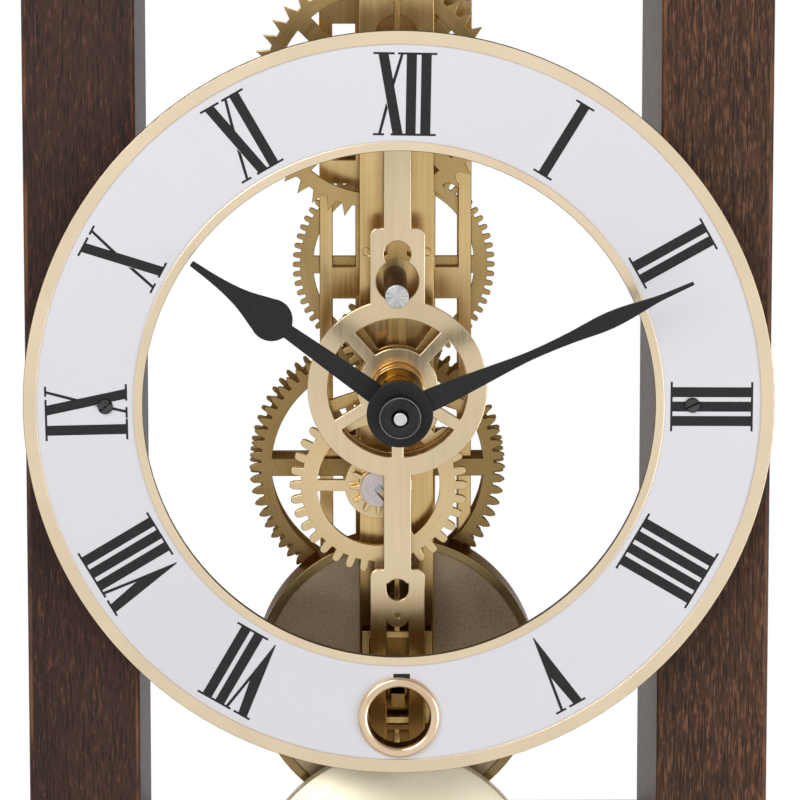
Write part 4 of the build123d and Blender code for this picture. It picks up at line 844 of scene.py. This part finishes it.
# Hand nut: a round black nut on the end of the centre arbor, turned with a countersunk hole that shows the
# arbor's bright end, and knurled round its rim with fine straight ridges that are worn bright at the front.
NUT_OUTLINE = [
    (1.85, 101.20), (4.72, 101.20), (4.72, 106.70), (4.60, 107.00), (4.30, 107.20), (2.45, 107.20),
    (2.28, 107.14), (2.05, 106.92), (1.85, 106.72),
]
KNURL_SIZES = {"Ridges": 54, "Radius": 0.00472, "Ridge width": 0.00034, "Ridge length": 0.0050}
KNURL_OUT = 0.1041
WORN_STEEL_TONE = (204, 204, 206)
WORN_HEIGHT = 0.00006
WORN_BACK = 0.0001
UNWORN_BACK = 0.0006
nut_axis = middle("hand_nut")
material, place = new_finish("knurled black nut")
grain = step(grains(place, 1800.0, detail=3.0), 0.3, 0.7)
radius, _, depth = polar(place, nut_axis)
ridge_end = -KNURL_OUT - KNURL_SIZES["Ridge length"] / 2
worn = step(radius, KNURL_SIZES["Radius"], KNURL_SIZES["Radius"] + WORN_HEIGHT)
worn = worn * (1 - step(depth, ridge_end + WORN_BACK, ridge_end + UNWORN_BACK)) * (grain * 0.5 + 0.5)
nut_black = tint(grain, shade(*HAND_TONES[0]), shade(*HAND_TONES[1]))
close_finish(place, {
    "Base Color": tint(worn, nut_black, shade(*WORN_STEEL_TONE)),
    "Roughness": grain * 0.14 + 0.34,
    "Specular IOR Level": 0.3,
})
mesh = lathe("hand_nut_body", NUT_OUTLINE, nut_axis)
hand_nut = add_piece("knurled_hand_nut", mesh)
knurl_tree, given = new_tree("knurled rim", {
    "Ridges": "NodeSocketInt", "Radius": VALUE, "Ridge width": VALUE, "Ridge length": VALUE,
    "Place": "NodeSocketVector", "Material": "NodeSocketMaterial",
})
body = given["Geometry"]
ring = body.make("GeometryNodeMeshCircle", {}, {"Vertices": given["Ridges"], "Radius": given["Radius"]})
ridge_size = body.make("ShaderNodeCombineXYZ", {}, {
    "X": given["Ridge width"], "Y": given["Ridge width"], "Z": given["Ridge length"],
})
ridge = body.make("GeometryNodeMeshCube", {}, {"Size": ridge_size})
number = body.make("GeometryNodeInputIndex", {}, {})
diamond = number * (2 * math.pi) / given["Ridges"] + math.pi / 4
spread = body.make("GeometryNodeInstanceOnPoints", {}, {
    "Points": ring, "Instance": ridge, "Rotation": body.make("ShaderNodeCombineXYZ", {}, {"Z": diamond}),
})
stood = body.make("GeometryNodeTransform", {}, {
    "Geometry": spread, "Rotation": (math.pi / 2, 0, 0), "Translation": given["Place"],
})
whole = body.make("GeometryNodeJoinGeometry", {}, {"Geometry": body})
body.tree.links.new(stood.socket, whole.socket.node.inputs["Geometry"])
close_tree(whole, given["Material"])
nut_place = (nut_axis[0], -KNURL_OUT, nut_axis[1])
grow(hand_nut, knurl_tree, {**KNURL_SIZES, "Place": nut_place, "Material": material})
stand_for(hand_nut, "hand_nut")

# Stage: a pale floor under the clock, a white background, surroundings that are duller overhead and on the
# viewer's side where metal mirrors them, two soft lamps and the camera.
FLOOR_DROP = 0.35
FLOOR_RADIUS = 1.5
FLOOR_FACETS = 96
FLOOR_TONES = ((226, 225, 223), (232, 231, 229))
floor_height = cad_box[0][2] - FLOOR_DROP
floor_mesh = bpy.data.meshes.new("floor")
disc = bmesh.new()
bmesh.ops.create_circle(disc, cap_ends=True, segments=FLOOR_FACETS, radius=FLOOR_RADIUS,
                        matrix=Matrix.Translation((0, 0, floor_height)))
disc.to_mesh(floor_mesh)
disc.free()
floor = add_piece("floor", floor_mesh)
material, place = new_finish("pale floor")
cloud = grains(place, 3.0)
close_finish(place, {
    "Base Color": tint(cloud, shade(*FLOOR_TONES[0]), shade(*FLOOR_TONES[1])),
    "Roughness": cloud * 0.1 + 0.6,
})
floor_mesh.materials.append(material)

FRONT_LIGHT = 0.86
OVERHEAD_FRONT_LOSS = 0.4
OVERHEAD_BACK_LOSS = 0.65
SKY_LIGHT = 0.55
world = bpy.data.worlds.new("studio")
bpy.context.scene.world = world
world.use_nodes = True
world.node_tree.nodes.clear()
rays = world.node_tree.nodes.new("ShaderNodeLightPath")
watched = Wire(world.node_tree, rays.outputs["Is Camera Ray"])
mirrored = Wire(world.node_tree, rays.outputs["Is Glossy Ray"])
mirrored = mirrored + Wire(world.node_tree, rays.outputs["Is Transmission Ray"])
mirrored = mirrored.make("ShaderNodeMath", {"operation": "MINIMUM"}, {0: mirrored, 1: 1.0}) * (1 - watched)
sky = world.node_tree.nodes.new("ShaderNodeTexCoord")
way = Wire(world.node_tree, sky.outputs["Generated"])
ways = watched.make("ShaderNodeSeparateXYZ", {}, {"Vector": way})
behind = step(Wire(world.node_tree, ways.socket.node.outputs["Y"]), -0.35, 0.15)
height = Wire(world.node_tree, ways.socket.node.outputs["Z"])
front = FRONT_LIGHT - step(height, 0.0, 0.55) * OVERHEAD_FRONT_LOSS
back = 1 - step(height, 0.02, 0.3) * OVERHEAD_BACK_LOSS
surround = behind * back + (1 - behind) * front
strength = watched + mirrored * surround + (1 - watched) * (1 - mirrored) * SKY_LIGHT
glow = watched.make("ShaderNodeBackground", {}, {"Color": (1, 1, 1, 1), "Strength": strength})
watched.make("ShaderNodeOutputWorld", {}, {"Surface": glow})

dial_face = Vector((dial_centre[0], dial_front, dial_centre[1]))


def add_lamp(name, place, size, power):
    """A square soft lamp that looks at the dial."""
    lamp = bpy.data.lights.new(name, "AREA")
    lamp.size = size
    lamp.energy = power
    stand = bpy.data.objects.new(name, lamp)
    bpy.context.scene.collection.objects.link(stand)
    stand.location = place
    stand.rotation_euler = (dial_face - Vector(place)).to_track_quat("-Z", "Y").to_euler()


KEY_PLACE = (-0.55, -1.15, 0.5)
KEY_SIZE = 0.8
KEY_POWER = 10.6
FILL_PLACE = (0.9, -0.9, -0.4)
FILL_SIZE = 0.7
FILL_POWER = 5.6
add_lamp("key lamp", KEY_PLACE, KEY_SIZE, KEY_POWER)
add_lamp("fill lamp", FILL_PLACE, FILL_SIZE, FILL_POWER)

VIEW_DISTANCE = 1.24
VIEW_WIDTH = 0.1915
VIEW_PITCH = math.radians(9.3)
VIEW_YAW = math.radians(0.85)
FRAME_RIGHT = 0.0002
FRAME_UP = 0.0014
camera = bpy.data.cameras.new("camera")
camera.angle = 2 * math.atan(VIEW_WIDTH / 2 / VIEW_DISTANCE)
tripod = bpy.data.objects.new("camera", camera)
bpy.context.scene.collection.objects.link(tripod)
aim = dial_face + Vector((FRAME_RIGHT, 0, FRAME_UP))
level = Vector((-math.sin(VIEW_YAW), -math.cos(VIEW_YAW), 0))
tripod.location = aim + VIEW_DISTANCE * (level * math.cos(VIEW_PITCH) + Vector((0, 0, math.sin(VIEW_PITCH))))
tripod.rotation_euler = (math.pi / 2 - VIEW_PITCH, 0, -VIEW_YAW)
bpy.context.scene.camera = tripod
bpy.context.scene.view_settings.view_transform = "Standard"
